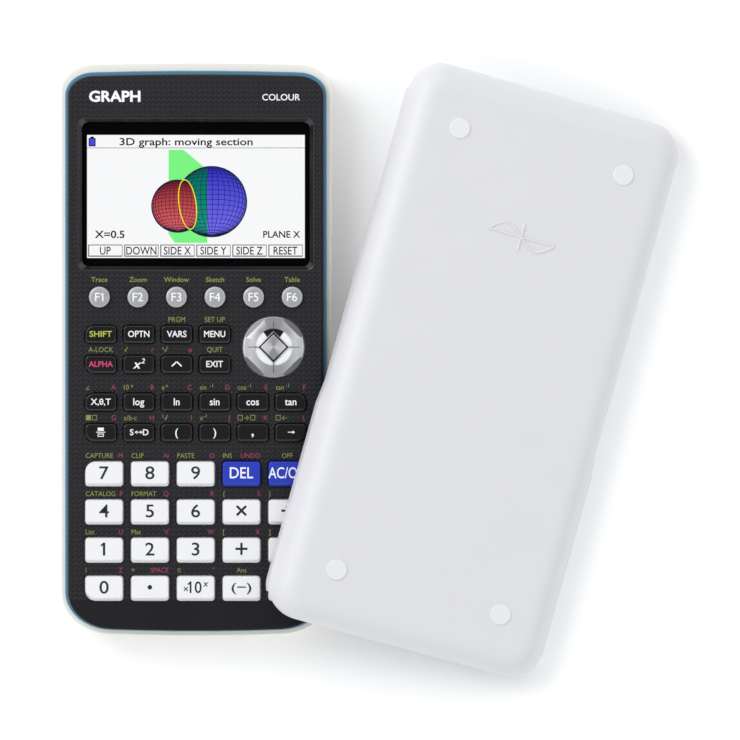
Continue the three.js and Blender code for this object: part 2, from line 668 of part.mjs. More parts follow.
// One side's flare, seen from above. Its inner edge runs along the middle of the wall.
function flareOutline(side) {
  const high = COVER_FLARE.fromEnd + COVER_FLARE.length - BODY_LENGTH / 2;
  const middle = COVER_CORNER - COVER_WALL / 2;
  const corner = {
    x: side * (COVER_WIDTH / 2 - COVER_CORNER),
    y: COVER_CORNER - BODY_LENGTH / 2,
  };
  const quarter = (reachX, reachY) => Array.from({ length: COVER_FLARE.steps + 1 }, (_, step) => {
    const angle = ((step / COVER_FLARE.steps) * Math.PI) / 2;
    return new THREE.Vector2(
      corner.x + side * reachX * Math.cos(angle),
      corner.y - reachY * Math.sin(angle),
    );
  });
  return new THREE.Shape([
    ...quarter(middle, middle),
    ...quarter(COVER_CORNER + COVER_FLARE.depth, COVER_CORNER).reverse(),
    new THREE.Vector2(side * COVER_FLARED_HALF, high - COVER_FLARE.ramp),
    new THREE.Vector2((side * COVER_WIDTH) / 2, high),
    new THREE.Vector2(side * (COVER_INNER_HALF + COVER_WALL / 2), high),
  ]);
}

function railBlock(side) {
  const inside = side * RAIL_INNER;
  const wall = side * (COVER_INNER_HALF + COVER_WALL / 2);
  const low = COVER_FLARE.fromEnd - BODY_LENGTH / 2;
  return block(
    { x: Math.min(inside, wall), y: low, z: 0 },
    { x: Math.max(inside, wall), y: low + COVER_FLARE.length, z: RAIL_HEIGHT },
  );
}

// A domed tray, open below: z = 0 is the plane of its side rims, and its face is on top.
function slideCover() {
  const round = COVER_EDGE_ROUND;
  const outer = roundedPrism(coverOutline(0), COVER_DEPTH - 4 * round, COVER_DEPTH, round, 4);
  const innerRound = round - COVER_WALL;
  const ceiling = COVER_DEPTH - COVER_WALL;
  const inner = roundedPrism(coverOutline(COVER_WALL), ceiling - 5 * round, ceiling, innerRound, 3);
  const below = block(
    { x: -COVER_WIDTH, y: -BODY_LENGTH, z: -5 * round },
    { x: COVER_WIDTH, y: BODY_LENGTH, z: 0 },
  );
  let cover = outer.subtract(inner).subtract(below);
  for (const side of [-1, 1]) {
    cover = cover.add(prism(flareOutline(side), 0, COVER_FLARE.height));
    cover = cover.add(railBlock(side));
  }
  for (const [end, length] of [[-1, COVER_LIP.low], [1, COVER_LIP.high]]) {
    const inside = end * (BODY_LENGTH / 2 - length);
    const outside = end * BODY_LENGTH;
    cover = cover.subtract(block(
      { x: -COVER_WIDTH, y: Math.min(inside, outside), z: -EXTRA },
      { x: COVER_WIDTH, y: Math.max(inside, outside), z: COVER_DEPTH - LIP_DEPTH },
    ));
  }
  return cover;
}

// ---------- Assembly ----------

function part(name, body, material) {
  const { vertProperties, triVerts } = body.getMesh();
  const geometry = new THREE.BufferGeometry();
  geometry.setAttribute('position', new THREE.BufferAttribute(vertProperties, 3));
  geometry.setIndex(new THREE.BufferAttribute(triVerts, 1));
  geometry.computeVertexNormals();
  const mesh = new THREE.Mesh(geometry, material);
  mesh.name = name;
  return mesh;
}

const calculator = new THREE.Group();
calculator.add(part('rear_case', rearCase(), ivory()));
calculator.add(part('trim_band', trimBand(), blueTrim()));
calculator.add(part('front_case', frontCase(), faceBlack()));
calculator.add(part('display_window', displayWindow(), windowClear()));
calculator.add(part('display_module', displayModule(), moduleDark()));
calculator.add(part('key_mat', keyMat(), matGrey()));
calculator.add(part('circuit_board', circuitBoard(), boardGreen()));
calculator.add(part('battery_pair_left', batteryPair(-1), cellJacket()));
calculator.add(part('battery_pair_right', batteryPair(1), cellJacket()));
calculator.add(part('battery_door', batteryDoor(), ivory()));
calculator.add(part('restart_button', restartButton(), buttonGrey()));
for (const key of KEYS) {
  calculator.add(part(key.name, keySolid(key), key.material()));
}
calculator.add(part('cursor_hub', cursorHub(), silver()));
calculator.add(part('cursor_pad', cursorPad(), silver()));

const cover = part('slide_cover', slideCover(), coverWhite());
cover.rotation.y = COVER_TILT;
const lean = new THREE.Group();
lean.rotation.z = COVER_LEAN.turn;
lean.position.set(
  BODY_WIDTH / 2 + COVER_WIDTH / 2 - COVER_LEAN.reach,
  COVER_LEAN.y,
  COVER_FLARED_HALF * Math.sin(COVER_TILT) + COVER_LEAN.floorGap,
);
lean.add(cover);
calculator.add(lean);

export default calculator;
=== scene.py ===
from math import asin, atan2, cos, pi, radians, sin

import bmesh
import bpy
from mathutils import Matrix, Vector


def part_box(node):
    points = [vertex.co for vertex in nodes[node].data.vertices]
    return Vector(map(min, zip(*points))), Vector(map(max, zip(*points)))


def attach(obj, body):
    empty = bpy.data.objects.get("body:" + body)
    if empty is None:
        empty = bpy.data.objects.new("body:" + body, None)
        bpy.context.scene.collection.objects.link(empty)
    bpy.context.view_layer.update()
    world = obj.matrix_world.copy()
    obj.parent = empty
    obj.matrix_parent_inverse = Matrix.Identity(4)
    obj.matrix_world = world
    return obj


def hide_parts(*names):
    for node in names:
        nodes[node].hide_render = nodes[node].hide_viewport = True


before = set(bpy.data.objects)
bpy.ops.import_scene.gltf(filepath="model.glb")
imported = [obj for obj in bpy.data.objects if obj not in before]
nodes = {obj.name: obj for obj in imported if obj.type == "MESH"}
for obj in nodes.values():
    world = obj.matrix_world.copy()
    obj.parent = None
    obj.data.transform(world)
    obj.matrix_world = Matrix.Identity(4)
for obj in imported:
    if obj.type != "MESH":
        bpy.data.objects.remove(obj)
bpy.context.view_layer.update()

MM = 0.001

# ---- Table top, light and camera ----
# A plain white table top under broad soft light from the upper left.
# The camera looks straight down on the table from far away through a long lens.

scene = bpy.context.scene
VIEW_CENTRE = (57.1 * MM, -6.8 * MM)
VIEW_WIDTH = 242.5 * MM
LENS, SENSOR = 400, 36
FACE_HEIGHT = 17 * MM

camera_data = bpy.data.cameras.new("camera")
camera_data.lens = LENS
camera_data.sensor_width = SENSOR
camera_data.clip_start = 0.05
camera = bpy.data.objects.new("camera", camera_data)
camera.location = (*VIEW_CENTRE, FACE_HEIGHT + VIEW_WIDTH * LENS / SENSOR)
scene.collection.objects.link(camera)
scene.camera = camera
scene.view_settings.view_transform = "Standard"


def new_paint(name, **sockets):
    """A material, its nodes and its shader, with these values on the shader's sockets."""
    material = bpy.data.materials.new(name)
    material.use_nodes = True
    tree = material.node_tree
    shader = tree.nodes["Principled BSDF"]
    for socket, value in sockets.items():
        shader.inputs[socket.replace("_", " ")].default_value = value
    return material, tree, shader


def set_stops(ramp, stops):
    """Fills a colour ramp with stops, each a position and a colour."""
    while len(ramp.elements) < len(stops):
        ramp.elements.new(1)
    for stop, (position, colour) in zip(ramp.elements, stops):
        stop.position = position
        stop.color = (*colour, 1)


floor_mesh = bpy.data.meshes.new("table_top")
floor_shape = bmesh.new()
bmesh.ops.create_grid(floor_shape, x_segments=1, y_segments=1, size=3)
floor_shape.to_mesh(floor_mesh)
floor_shape.free()
floor = bpy.data.objects.new("table_top", floor_mesh)
scene.collection.objects.link(floor)
# The table top glows faintly, which lightens the shadows that lie on it.
floor_paint = new_paint(
    "white table top", Base_Color=(0.97, 0.97, 0.97, 1), Roughness=0.8,
    Specular_IOR_Level=0.1, Emission_Color=(1, 1, 1, 1), Emission_Strength=0.08,
)[0]
floor_mesh.materials.append(floor_paint)

# The room is brightest halfway up, and darker straight overhead and near the floor.
SKY_STRENGTH = 1.27
SKY_TINT = (0.97, 0.985, 1)
SKY_LEVELS = [(0.0, 0.28), (0.45, 1.0), (0.72, 1.0), (0.99, 0.1)]
world = bpy.data.worlds.new("soft room")
scene.world = world
world.use_nodes = True
sky = world.node_tree
sky_place = sky.nodes.new("ShaderNodeTexCoord")
sky_axes = sky.nodes.new("ShaderNodeSeparateXYZ")
sky_level = sky.nodes.new("ShaderNodeValToRGB")
sky_level.color_ramp.interpolation = "EASE"
set_stops(
    sky_level.color_ramp,
    [(height, [part * level for part in SKY_TINT]) for height, level in SKY_LEVELS],
)
sky.links.new(sky_place.outputs["Generated"], sky_axes.inputs[0])
sky.links.new(sky_axes.outputs["Z"], sky_level.inputs["Fac"])
sky.links.new(sky_level.outputs["Color"], sky.nodes["Background"].inputs["Color"])
sky.nodes["Background"].inputs["Strength"].default_value = SKY_STRENGTH

KEY_LIGHT_PLACE = Vector((-0.9, 0.75, 1.1))
key_light_data = bpy.data.lights.new("key_light", "AREA")
key_light_data.size = 0.9
key_light_data.energy = 9
key_light = bpy.data.objects.new("key_light", key_light_data)
key_light.location = KEY_LIGHT_PLACE
key_light.rotation_euler = KEY_LIGHT_PLACE.to_track_quat("Z", "Y").to_euler()
scene.collection.objects.link(key_light)

# ---- Rear case ----
# A deep tray of glossy ivory ABS, moulded in one piece with the battery bay.
# It carries everything else, and its side grooves take the rails of the slide cover.


def surface_group(name, *inputs):
    """A surface effect that puts out a colour, a roughness and a normal.

    Each input is its name, its kind and its value. Returns the group and its two ends.
    """
    group = bpy.data.node_groups.new(name, "ShaderNodeTree")
    outputs = (("Colour", "Color"), ("Roughness", "Float"), ("Normal", "Vector"))
    for label, kind, *value in inputs:
        socket = group.interface.new_socket(
            label, in_out="INPUT", socket_type="NodeSocket" + kind)
        if value:
            socket.default_value = value[0]
    for label, kind in outputs:
        group.interface.new_socket(label, in_out="OUTPUT", socket_type="NodeSocket" + kind)
    return group, group.nodes.new("NodeGroupInput"), group.nodes.new("NodeGroupOutput")


def lay_surface(tree, shader, group, **values):
    """Puts a surface effect into a material, with its own values."""
    surface = tree.nodes.new("ShaderNodeGroup")
    surface.node_tree = group
    for name, value in values.items():
        surface.inputs[name].default_value = value
    for output, socket in (("Colour", "Base Color"), ("Roughness",) * 2, ("Normal",) * 2):
        tree.links.new(surface.outputs[output], shader.inputs[socket])
    return surface


def noise(tree, place, scale, detail=2.0):
    texture = tree.nodes.new("ShaderNodeTexNoise")
    texture.inputs["Detail"].default_value = detail
    tree.links.new(place, texture.inputs["Vector"])
    if isinstance(scale, (int, float)):
        texture.inputs["Scale"].default_value = scale
    else:
        tree.links.new(scale, texture.inputs["Scale"])
    return texture.outputs["Fac"]


def arithmetic(tree, operation, *values):
    step = tree.nodes.new("ShaderNodeMath")
    step.operation = operation
    for socket, value in zip(step.inputs, values):
        if isinstance(value, (int, float)):
            socket.default_value = value
        else:
            tree.links.new(value, socket)
    return step.outputs[0]


# Moulded grain: fine spark-eroded relief, with faint mottling of colour and gloss.
grain, grain_in, grain_out = surface_group(
    "moulded grain", ("Colour", "Color", (0.5, 0.5, 0.5, 1)), ("Grains", "Float", 3000),
    ("Depth", "Float", 0.01 * MM), ("Mottle", "Float", 0.05), ("Roughness", "Float", 0.4),
)
CLOUD_SCALE = 70
grain_place = grain.nodes.new("ShaderNodeTexCoord").outputs["Object"]
fine = noise(grain, grain_place, grain_in.outputs["Grains"], 3)
cloudy = noise(grain, grain_place, CLOUD_SCALE)
swings = []
for pattern in (cloudy, fine):
    swing = arithmetic(grain, "SUBTRACT", pattern, 0.5)
    swings.append(arithmetic(grain, "MULTIPLY", swing, grain_in.outputs["Mottle"]))
shade = arithmetic(grain, "ADD", arithmetic(grain, "ADD", *swings), 1)
tint = grain.nodes.new("ShaderNodeVectorMath")
tint.operation = "SCALE"
grain.links.new(grain_in.outputs["Colour"], tint.inputs[0])
grain.links.new(shade, tint.inputs["Scale"])
grain.links.new(tint.outputs[0], grain_out.inputs["Colour"])
gloss = arithmetic(grain, "MULTIPLY", grain_in.outputs["Roughness"], shade)
grain.links.new(gloss, grain_out.inputs["Roughness"])
relief = grain.nodes.new("ShaderNodeBump")
grain.links.new(fine, relief.inputs["Height"])
grain.links.new(grain_in.outputs["Depth"], relief.inputs["Distance"])
grain.links.new(relief.outputs[0], grain_out.inputs["Normal"])


def moulded(name, colour, roughness, grains=3000, depth=0.006, mottle=0.06, **sockets):
    """A moulded plastic or painted finish. The relief's depth is in millimetres."""
    material, tree, shader = new_paint(name, **sockets)
    lay_surface(tree, shader, grain, Colour=(*colour, 1), Grains=grains, Depth=depth * MM,
                Mottle=mottle, Roughness=roughness)
    return material


SHARP_ANGLE = radians(32)


def made_piece(name, shape, *materials, even=True):
    """A finished piece at the origin, with its place in its mesh."""
    mesh = bpy.data.meshes.new(name)
    shape.to_mesh(mesh)
    shape.free()
    for material in materials:
        mesh.materials.append(material)
    mesh.shade_smooth()
    mesh.set_sharp_from_angle(angle=SHARP_ANGLE)
    piece = bpy.data.objects.new(name, mesh)
    scene.collection.objects.link(piece)
    if even:
        evened = piece.modifiers.new("even shading", "WEIGHTED_NORMAL")
        evened.keep_sharp = True
    return piece


def clean_copy(node):
    """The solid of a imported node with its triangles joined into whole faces."""
    shape = bmesh.new()
    shape.from_mesh(nodes[node].data)
    bmesh.ops.remove_doubles(shape, verts=shape.verts, dist=2e-6)
    bmesh.ops.dissolve_limit(
        shape, angle_limit=radians(0.6), verts=shape.verts, edges=shape.edges
    )
    return shape


def round_edges(shape, width, segments, wanted=lambda edge: True, least=28):
    """Rounds the edges that turn by more than the least angle. Width in millimetres."""
    edges = [
        edge
        for edge in shape.edges
        if edge.is_manifold
        and edge.calc_face_angle(0) > radians(least)
        and wanted(edge)
    ]
    bmesh.ops.bevel(
        shape,
        geom=edges,
        offset=width * MM,
        offset_type="OFFSET",
        affect="EDGES",
        segments=segments,
        profile=0.5,
        material=-1,
        clamp_overlap=False,
    )


def dress(node, material):
    """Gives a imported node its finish."""
    nodes[node].data.materials.clear()
    nodes[node].data.materials.append(material)


def at_height(height):
    """Picks the edges that lie flat at a height in metres."""
    return lambda edge: all(abs(v.co.z - height) < 1e-5 for v in edge.verts)


REAR_RIM = 12.6 * MM
ivory = moulded("ivory gloss ABS", (0.93, 0.905, 0.83), 0.3, 2500, 0.002, 0.04,
                Coat_Weight=0.3, Coat_Roughness=0.12)
rear_shape = clean_copy("rear_case")
round_edges(rear_shape, 0.55, 3, at_height(REAR_RIM))
rear_case = made_piece("rear_case_shell", rear_shape, ivory)
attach(rear_case, "calculator_body")
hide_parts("rear_case")


# ---- Case screws ----
# Six zinc-plated pan head screws, sunk in recesses in the back.
# They hold the rear case to the front case through the posts inside.


def paint_new(corners, slot):
    for face in {face for corner in corners for face in corner.link_faces}:
        face.material_index = slot


def add_block(shape, low, high, slot=0, turn=0.0):
    """A block between two corners in millimetres, turned about its own centre."""
    centre = (Vector(low) + Vector(high)) * MM / 2
    size = (Vector(high) - Vector(low)) * MM
    place = Matrix.Translation(centre) @ Matrix.Rotation(turn, 4, "Z")
    place = place @ Matrix.Diagonal((*size, 1))
    corners = bmesh.ops.create_cube(shape, size=1, matrix=place)["verts"]
    paint_new(corners, slot)
    return corners


def add_disc(shape, radius, centre, bottom, top, sides=32, slot=0, turn=0.0):
    place = Matrix.Translation(Vector((*centre, (bottom + top) / 2)) * MM)
    place = place @ Matrix.Rotation(turn, 4, "Z")
    corners = bmesh.ops.create_cone(
        shape, cap_ends=True, segments=sides, radius1=radius * MM,
        radius2=radius * MM, depth=(top - bottom) * MM, matrix=place,
    )["verts"]
    paint_new(corners, slot)
    return corners


SCREW_PLACES = [(x, y) for x in (-33.5, 33.5) for y in (-84.25, -10, 84.25)]
zinc = moulded("zinc plate", (0.55, 0.55, 0.56), 0.32, 5000, 0.002, 0.2, Metallic=1.0)
screw_slot_shade = moulded("painted shade of screw slots", (0.012, 0.012, 0.013), 0.6)
screw_shape = bmesh.new()
SCREW_RADIUS, SLOT_HALF, SLOT_TURN = 2.1, (1.1, 0.18), 0.4
for place in SCREW_PLACES:
    add_disc(screw_shape, SCREW_RADIUS, place, 0.25, 1.2)
round_edges(screw_shape, 0.3, 3)
# Each cross slot is a near-black block on the head in place of a groove, a painted shade of
# the slot.
for x, y in SCREW_PLACES:
    for turn in (SLOT_TURN, SLOT_TURN + pi / 2):
        add_block(screw_shape, (x - SLOT_HALF[0], y - SLOT_HALF[1], 0.22),
                  (x + SLOT_HALF[0], y + SLOT_HALF[1], 0.6), 1, turn)
screws = made_piece("case_screws", screw_shape, zinc, screw_slot_shade)
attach(screws, "calculator_body")

# ---- Cells, contact plates and battery door ----
# Four AAA cells lie side by side in the bay, in printed steel jackets.
# The door is an ivory ABS plate with a finger grip, held by a snap latch.


def object_axes(tree):
    """The X, Y and Z of a place on the piece."""
    place = tree.nodes.new("ShaderNodeTexCoord").outputs["Object"]
    axes = tree.nodes.new("ShaderNodeSeparateXYZ")
    tree.links.new(place, axes.inputs[0])
    return axes.outputs


jacket, jacket_tree, jacket_shader = new_paint("printed cell jacket", Metallic=0.6)
jacket_bands = jacket_tree.nodes.new("ShaderNodeValToRGB")
jacket_bands.color_ramp.interpolation = "CONSTANT"
CELL_LOW, CELL_HIGH = 28.75, 73.25
along = object_axes(jacket_tree)["Y"]
along = arithmetic(jacket_tree, "SUBTRACT", along, CELL_LOW * MM)
along = arithmetic(jacket_tree, "DIVIDE", along, (CELL_HIGH - CELL_LOW) * MM)
jacket_tree.links.new(along, jacket_bands.inputs["Fac"])
BANDS = [
    (0.0, (0.55, 0.55, 0.55)), (0.04, (0.02, 0.05, 0.16)), (0.72, (0.6, 0.6, 0.62)),
    (0.75, (0.75, 0.36, 0.08)), (0.96, (0.55, 0.55, 0.55)),
]
set_stops(jacket_bands.color_ramp, BANDS)
jacket_wear = lay_surface(jacket_tree, jacket_shader, grain, Roughness=0.28, Mottle=0.1)
jacket_tree.links.new(jacket_bands.outputs["Color"], jacket_wear.inputs["Colour"])
for pair in ("battery_pair_left", "battery_pair_right"):
    dress(pair, jacket)


def rounded_face(width, depth, centre, z, corners, segments=6):
    """A flat face with rounded corners. corners maps (right, high) signs to radii."""
    shape = bmesh.new()
    made = bmesh.ops.create_grid(shape, x_segments=1, y_segments=1, size=0.5)["verts"]
    size = Vector((width, depth, 1)) * MM
    bmesh.ops.scale(shape, vec=size, verts=made)
    place = {(v.co.x > 0, v.co.y > 0): v for v in made}
    bmesh.ops.translate(shape, vec=Vector((*centre, z)) * MM, verts=made)
    for key, corner in place.items():
        bmesh.ops.bevel(
            shape, geom=[corner], offset=corners[key] * MM, offset_type="OFFSET",
            affect="VERTICES", segments=segments, profile=0.5, material=-1,
        )
    return shape


def even_corners(radius):
    return {(right, high): radius for right in (False, True) for high in (False, True)}


def raise_face(shape, face, rise):
    """Draws a face out along Z by some millimetres and returns the moved face."""
    drawn = bmesh.ops.extrude_face_region(shape, geom=[face] + face.edges[:])["geom"]
    moved = next(item for item in drawn if isinstance(item, bmesh.types.BMFace))
    bmesh.ops.translate(shape, verts=moved.verts[:], vec=(0, 0, rise * MM))
    return moved


def face_outwards(shape):
    bmesh.ops.recalc_face_normals(shape, faces=shape.faces)


def whole(shape):
    return shape.verts[:] + shape.edges[:] + shape.faces[:]


def cut_across(shape, axis, value, snap=0.0):
    """Cuts new edges square to an axis. Corners within the snap are taken as on the cut."""
    way = [0, 0, 0]
    way[axis] = 1
    bmesh.ops.bisect_plane(
        shape, geom=whole(shape), plane_co=Vector(way) * value * MM, plane_no=way,
        dist=snap * MM,
    )


door_low, door_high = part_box("battery_door")
door_middle = (door_low + door_high) / 2 / MM
door_size = (door_high - door_low) / MM
DOOR_THICKNESS = door_size.z
door_shape = rounded_face(
    door_size.x, door_size.y, door_middle.xy, DOOR_THICKNESS, even_corners(0.6)
)
raise_face(door_shape, door_shape.faces[:][0], -DOOR_THICKNESS)
face_outwards(door_shape)
round_edges(door_shape, 0.25, 2)
GRIP_START, GRIP_PITCH, GRIP_HALF_WIDTH, GRIP_DEPTH = 17, 1.5, 9, 0.45
GRIP_LINES = [door_middle.y + GRIP_START + GRIP_PITCH * line for line in range(8)]
for y in GRIP_LINES:
    cut_across(door_shape, 1, y)
for x in (-GRIP_HALF_WIDTH, GRIP_HALF_WIDTH):
    cut_across(door_shape, 0, x)
grips = []
for face in door_shape.faces:
    middle = face.calc_center_median() / MM
    number = (middle.y - GRIP_LINES[0]) / GRIP_PITCH
    inside = abs(middle.x) < GRIP_HALF_WIDTH and 0 < number < len(GRIP_LINES) - 1
    if face.normal.z < -0.9 and inside and int(number) % 2 == 0:
        grips.append(face)
bmesh.ops.inset_individual(door_shape, faces=grips, thickness=0.25 * MM)
for face in grips:
    bmesh.ops.translate(door_shape, verts=face.verts[:], vec=(0, 0, GRIP_DEPTH * MM))
battery_door = made_piece("battery_door_plate", door_shape, ivory)
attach(battery_door, "battery_door")
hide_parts("battery_door")

# ---- Circuit board, ports and restart button ----
# A green laminate board carries two sockets whose mouths open in the top end wall.
# The restart button behind its hole in the back is grey acetal.

solder_mask = moulded("green solder mask", (0.012, 0.13, 0.055), 0.25, 900, 0.01, 0.5,
                      Coat_Weight=0.5)
dress("circuit_board", solder_mask)
acetal = moulded("grey acetal", (0.16, 0.16, 0.17), 0.5)
dress("restart_button", acetal)

# Each socket: left and right edges, bottom and top, in millimetres.
SOCKETS = [(18.1, 25.9, 5.15, 9.35), (4.9, 11.1, 4.05, 9.35)]
BOARD_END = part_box("circuit_board")[1].y / MM
SOCKET_MOUTH, SOCKET_BACK, SOCKET_WALL = BOARD_END + 0.45, BOARD_END - 0.8, 0.35
tin = moulded("tinned shell", (0.6, 0.6, 0.6), 0.3, 4000, 0.002, 0.15, Metallic=1.0)
tongue_black = moulded("black tongue", (0.02, 0.02, 0.022), 0.45)
MOUTH_DEPTH, TONGUE_INSET, TONGUE_HALF = 0.4, 1.4, 0.35
socket_shape = bmesh.new()
for left, right, low, high in SOCKETS:
    add_block(socket_shape, (left, SOCKET_BACK, low), (right, SOCKET_MOUTH, high))
socket_shape.normal_update()
mouths = [face for face in socket_shape.faces if face.normal.y > 0.9]
bmesh.ops.inset_individual(socket_shape, faces=mouths, thickness=SOCKET_WALL * MM)
for face in mouths:
    drawn = bmesh.ops.extrude_face_region(socket_shape, geom=[face] + face.edges[:])
    drawn = drawn["geom"]
    corners = [item for item in drawn if isinstance(item, bmesh.types.BMVert)]
    bmesh.ops.translate(socket_shape, verts=corners, vec=(0, -MOUTH_DEPTH * MM, 0))
    for item in drawn:
        if isinstance(item, bmesh.types.BMFace):
            item.material_index = 1
for left, right, low, high in SOCKETS:
    middle = (low + high) / 2
    add_block(
        socket_shape, (left + TONGUE_INSET, SOCKET_BACK, middle - TONGUE_HALF),
        (right - TONGUE_INSET, SOCKET_MOUTH - 0.1, middle + TONGUE_HALF), 0,
    )
sockets = made_piece("socket_shells", socket_shape, tin, tongue_black)
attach(sockets, "calculator_body")

# ---- Key mat ----
# One sheet of grey silicone rubber with a dome under each key, lying on the board.

silicone = moulded("grey silicone", (0.3, 0.31, 0.33), 0.62, 1500, 0.01, 0.08)
dress("key_mat", silicone)

# ---- Trim band ----
# A glossy blue band between the two case halves, moulded in tinted acrylic.

tinted_blue = moulded("tinted blue acrylic", (0.10, 0.26, 0.40), 0.16, 1500, 0.001, 0.1,
                      Coat_Weight=0.6, Coat_Roughness=0.05)
TRIM_TOP = 14.6 * MM
trim_shape = clean_copy("trim_band")
round_edges(trim_shape, 0.35, 3, at_height(TRIM_TOP))
trim = made_piece("trim_ring", trim_shape, tinted_blue)
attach(trim, "calculator_body")
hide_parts("trim_band")

# ---- Front case ----
# The black face plate and its skirt, moulded in ABS with a fine zig-zag weave.
# The bottom strip is smooth, and the slope round the display is polished.

weave_paint = moulded("woven black ABS", (0.01, 0.01, 0.01), 0.5, 4200, 0.004, 0.3,
                      Specular_IOR_Level=0.22)
weave_tree = weave_paint.node_tree
weave_axes = object_axes(weave_tree)
WEAVE_PITCH, WEAVE_LEG, WEAVE_RELIEF, WEAVE_LIFT = 1.6, 0.85, 0.06, 2.5
THREAD_SWING, SMOOTH_TINT, WOVEN_TINT, COOLNESS = 0.0045, 0.0085, 0.005, 1.2
SMOOTH_SIDE, SMOOTH_LOW, WEAVE_FADE = 41.0, -82.6, 0.5
leg = arithmetic(weave_tree, "PINGPONG", weave_axes["X"], WEAVE_LEG * MM)
thread = arithmetic(weave_tree, "ADD", leg, weave_axes["Y"])
thread = arithmetic(weave_tree, "MULTIPLY", thread, 2 * pi / (WEAVE_PITCH * MM))
thread = arithmetic(weave_tree, "SINE", thread)
side_way = arithmetic(weave_tree, "ABSOLUTE", weave_axes["X"])


def fade(tree, value, start, end):
    """Rises from 0 to 1 as a place goes from start to end, in millimetres."""
    level = tree.nodes.new("ShaderNodeMapRange")
    level.inputs["From Min"].default_value = start * MM
    level.inputs["From Max"].default_value = end * MM
    tree.links.new(value, level.inputs["Value"])
    return level.outputs[0]


woven = arithmetic(
    weave_tree, "MULTIPLY",
    fade(weave_tree, side_way, SMOOTH_SIDE + WEAVE_FADE, SMOOTH_SIDE),
    fade(weave_tree, weave_axes["Y"], SMOOTH_LOW, SMOOTH_LOW + WEAVE_FADE),
)
thread_height = arithmetic(weave_tree, "MULTIPLY", thread, woven)
thread_height = arithmetic(
    weave_tree, "ADD", thread_height, arithmetic(weave_tree, "MULTIPLY", woven, WEAVE_LIFT)
)
weave_relief = weave_tree.nodes.new("ShaderNodeBump")
weave_relief.inputs["Distance"].default_value = WEAVE_RELIEF * MM
weave_tree.links.new(thread_height, weave_relief.inputs["Height"])
weave_shader = weave_tree.nodes["Principled BSDF"]
weave_grain = next(n for n in weave_tree.nodes if n.type == "GROUP")
weave_tree.links.new(weave_grain.outputs["Normal"], weave_relief.inputs["Normal"])
weave_tree.links.new(weave_relief.outputs[0], weave_shader.inputs["Normal"])
thread_tint = arithmetic(weave_tree, "MULTIPLY", thread, woven)
thread_tint = arithmetic(
    weave_tree, "MULTIPLY_ADD", thread_tint, THREAD_SWING, SMOOTH_TINT)
thread_tint = arithmetic(weave_tree, "MULTIPLY_ADD", woven, WOVEN_TINT, thread_tint)
thread_colour = weave_tree.nodes.new("ShaderNodeCombineColor")
for channel in ("Red", "Green"):
    weave_tree.links.new(thread_tint, thread_colour.inputs[channel])
cool_tint = arithmetic(weave_tree, "MULTIPLY", thread_tint, COOLNESS)
weave_tree.links.new(cool_tint, thread_colour.inputs["Blue"])
weave_tree.links.new(thread_colour.outputs[0], weave_grain.inputs["Colour"])

polished_black = moulded("polished black ABS", (0.008, 0.008, 0.009), 0.12, 3000, 0.0005,
                         0.1, Coat_Weight=0.3)
FACE = 17 * MM
DISPLAY_CENTRE = Vector((0, 50.85)) * MM
DISPLAY_HALF = Vector((77.3, 49.9)) * MM / 2
front_shape = clean_copy("front_case")
for face in front_shape.faces:
    middle = face.calc_center_median()
    off = middle.xy - DISPLAY_CENTRE
    in_display = abs(off.x) < DISPLAY_HALF.x and abs(off.y) < DISPLAY_HALF.y
    if in_display and middle.z > 15.8 * MM and 0.2 < face.normal.z < 0.95:
        face.material_index = 1
round_edges(front_shape, 0.18, 2, at_height(FACE))
front_case = made_piece("front_case_shell", front_shape, weave_paint, polished_black)
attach(front_case, "calculator_body")
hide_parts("front_case")


# ---- Display ----
# A colour panel in a black frame behind a clear hard-coated acrylic window.
# The picture it shows is two wire spheres with a cutting plane between them.


def lit(name, colour):
    """A lit part of the panel's picture."""
    return new_paint(
        name, Base_Color=(0, 0, 0, 1), Roughness=0.6, Specular_IOR_Level=0.0,
        Emission_Color=(*colour, 1), Emission_Strength=1.0,
    )[0]


def lit_shaded(name, dark, light, low, high):
    """A lit colour that goes from light at the low edge to dark at the high one."""
    material = lit(name, light)
    tree = material.node_tree
    level = fade(tree, object_axes(tree)["Y"], low, high)
    blend = tree.nodes.new("ShaderNodeMix")
    blend.data_type = "RGBA"
    blend.inputs[6].default_value = (*light, 1)
    blend.inputs[7].default_value = (*dark, 1)
    tree.links.new(level, blend.inputs["Factor"])
    tree.links.new(
        blend.outputs[2], tree.nodes["Principled BSDF"].inputs["Emission Color"]
    )
    return material


def as_mesh(name, curve):
    """Makes a curve or lettering a mesh."""
    draft = bpy.data.objects.new(name, curve)
    scene.collection.objects.link(draft)
    graph = bpy.context.evaluated_depsgraph_get()
    mesh = bpy.data.meshes.new_from_object(draft.evaluated_get(graph))
    bpy.data.objects.remove(draft)
    return mesh


# Signs whose outlines can't be made heavier, and the shares of the letter size that are
# half a capital's height and the mean width of a letter.
THIN_SIGNS = set("\u2190\u2192\u221a\u2220\u00f8")
HALF_CAPITAL, LETTER_ADVANCE = 0.343, 0.44
PRINT_PROUD = 0.03


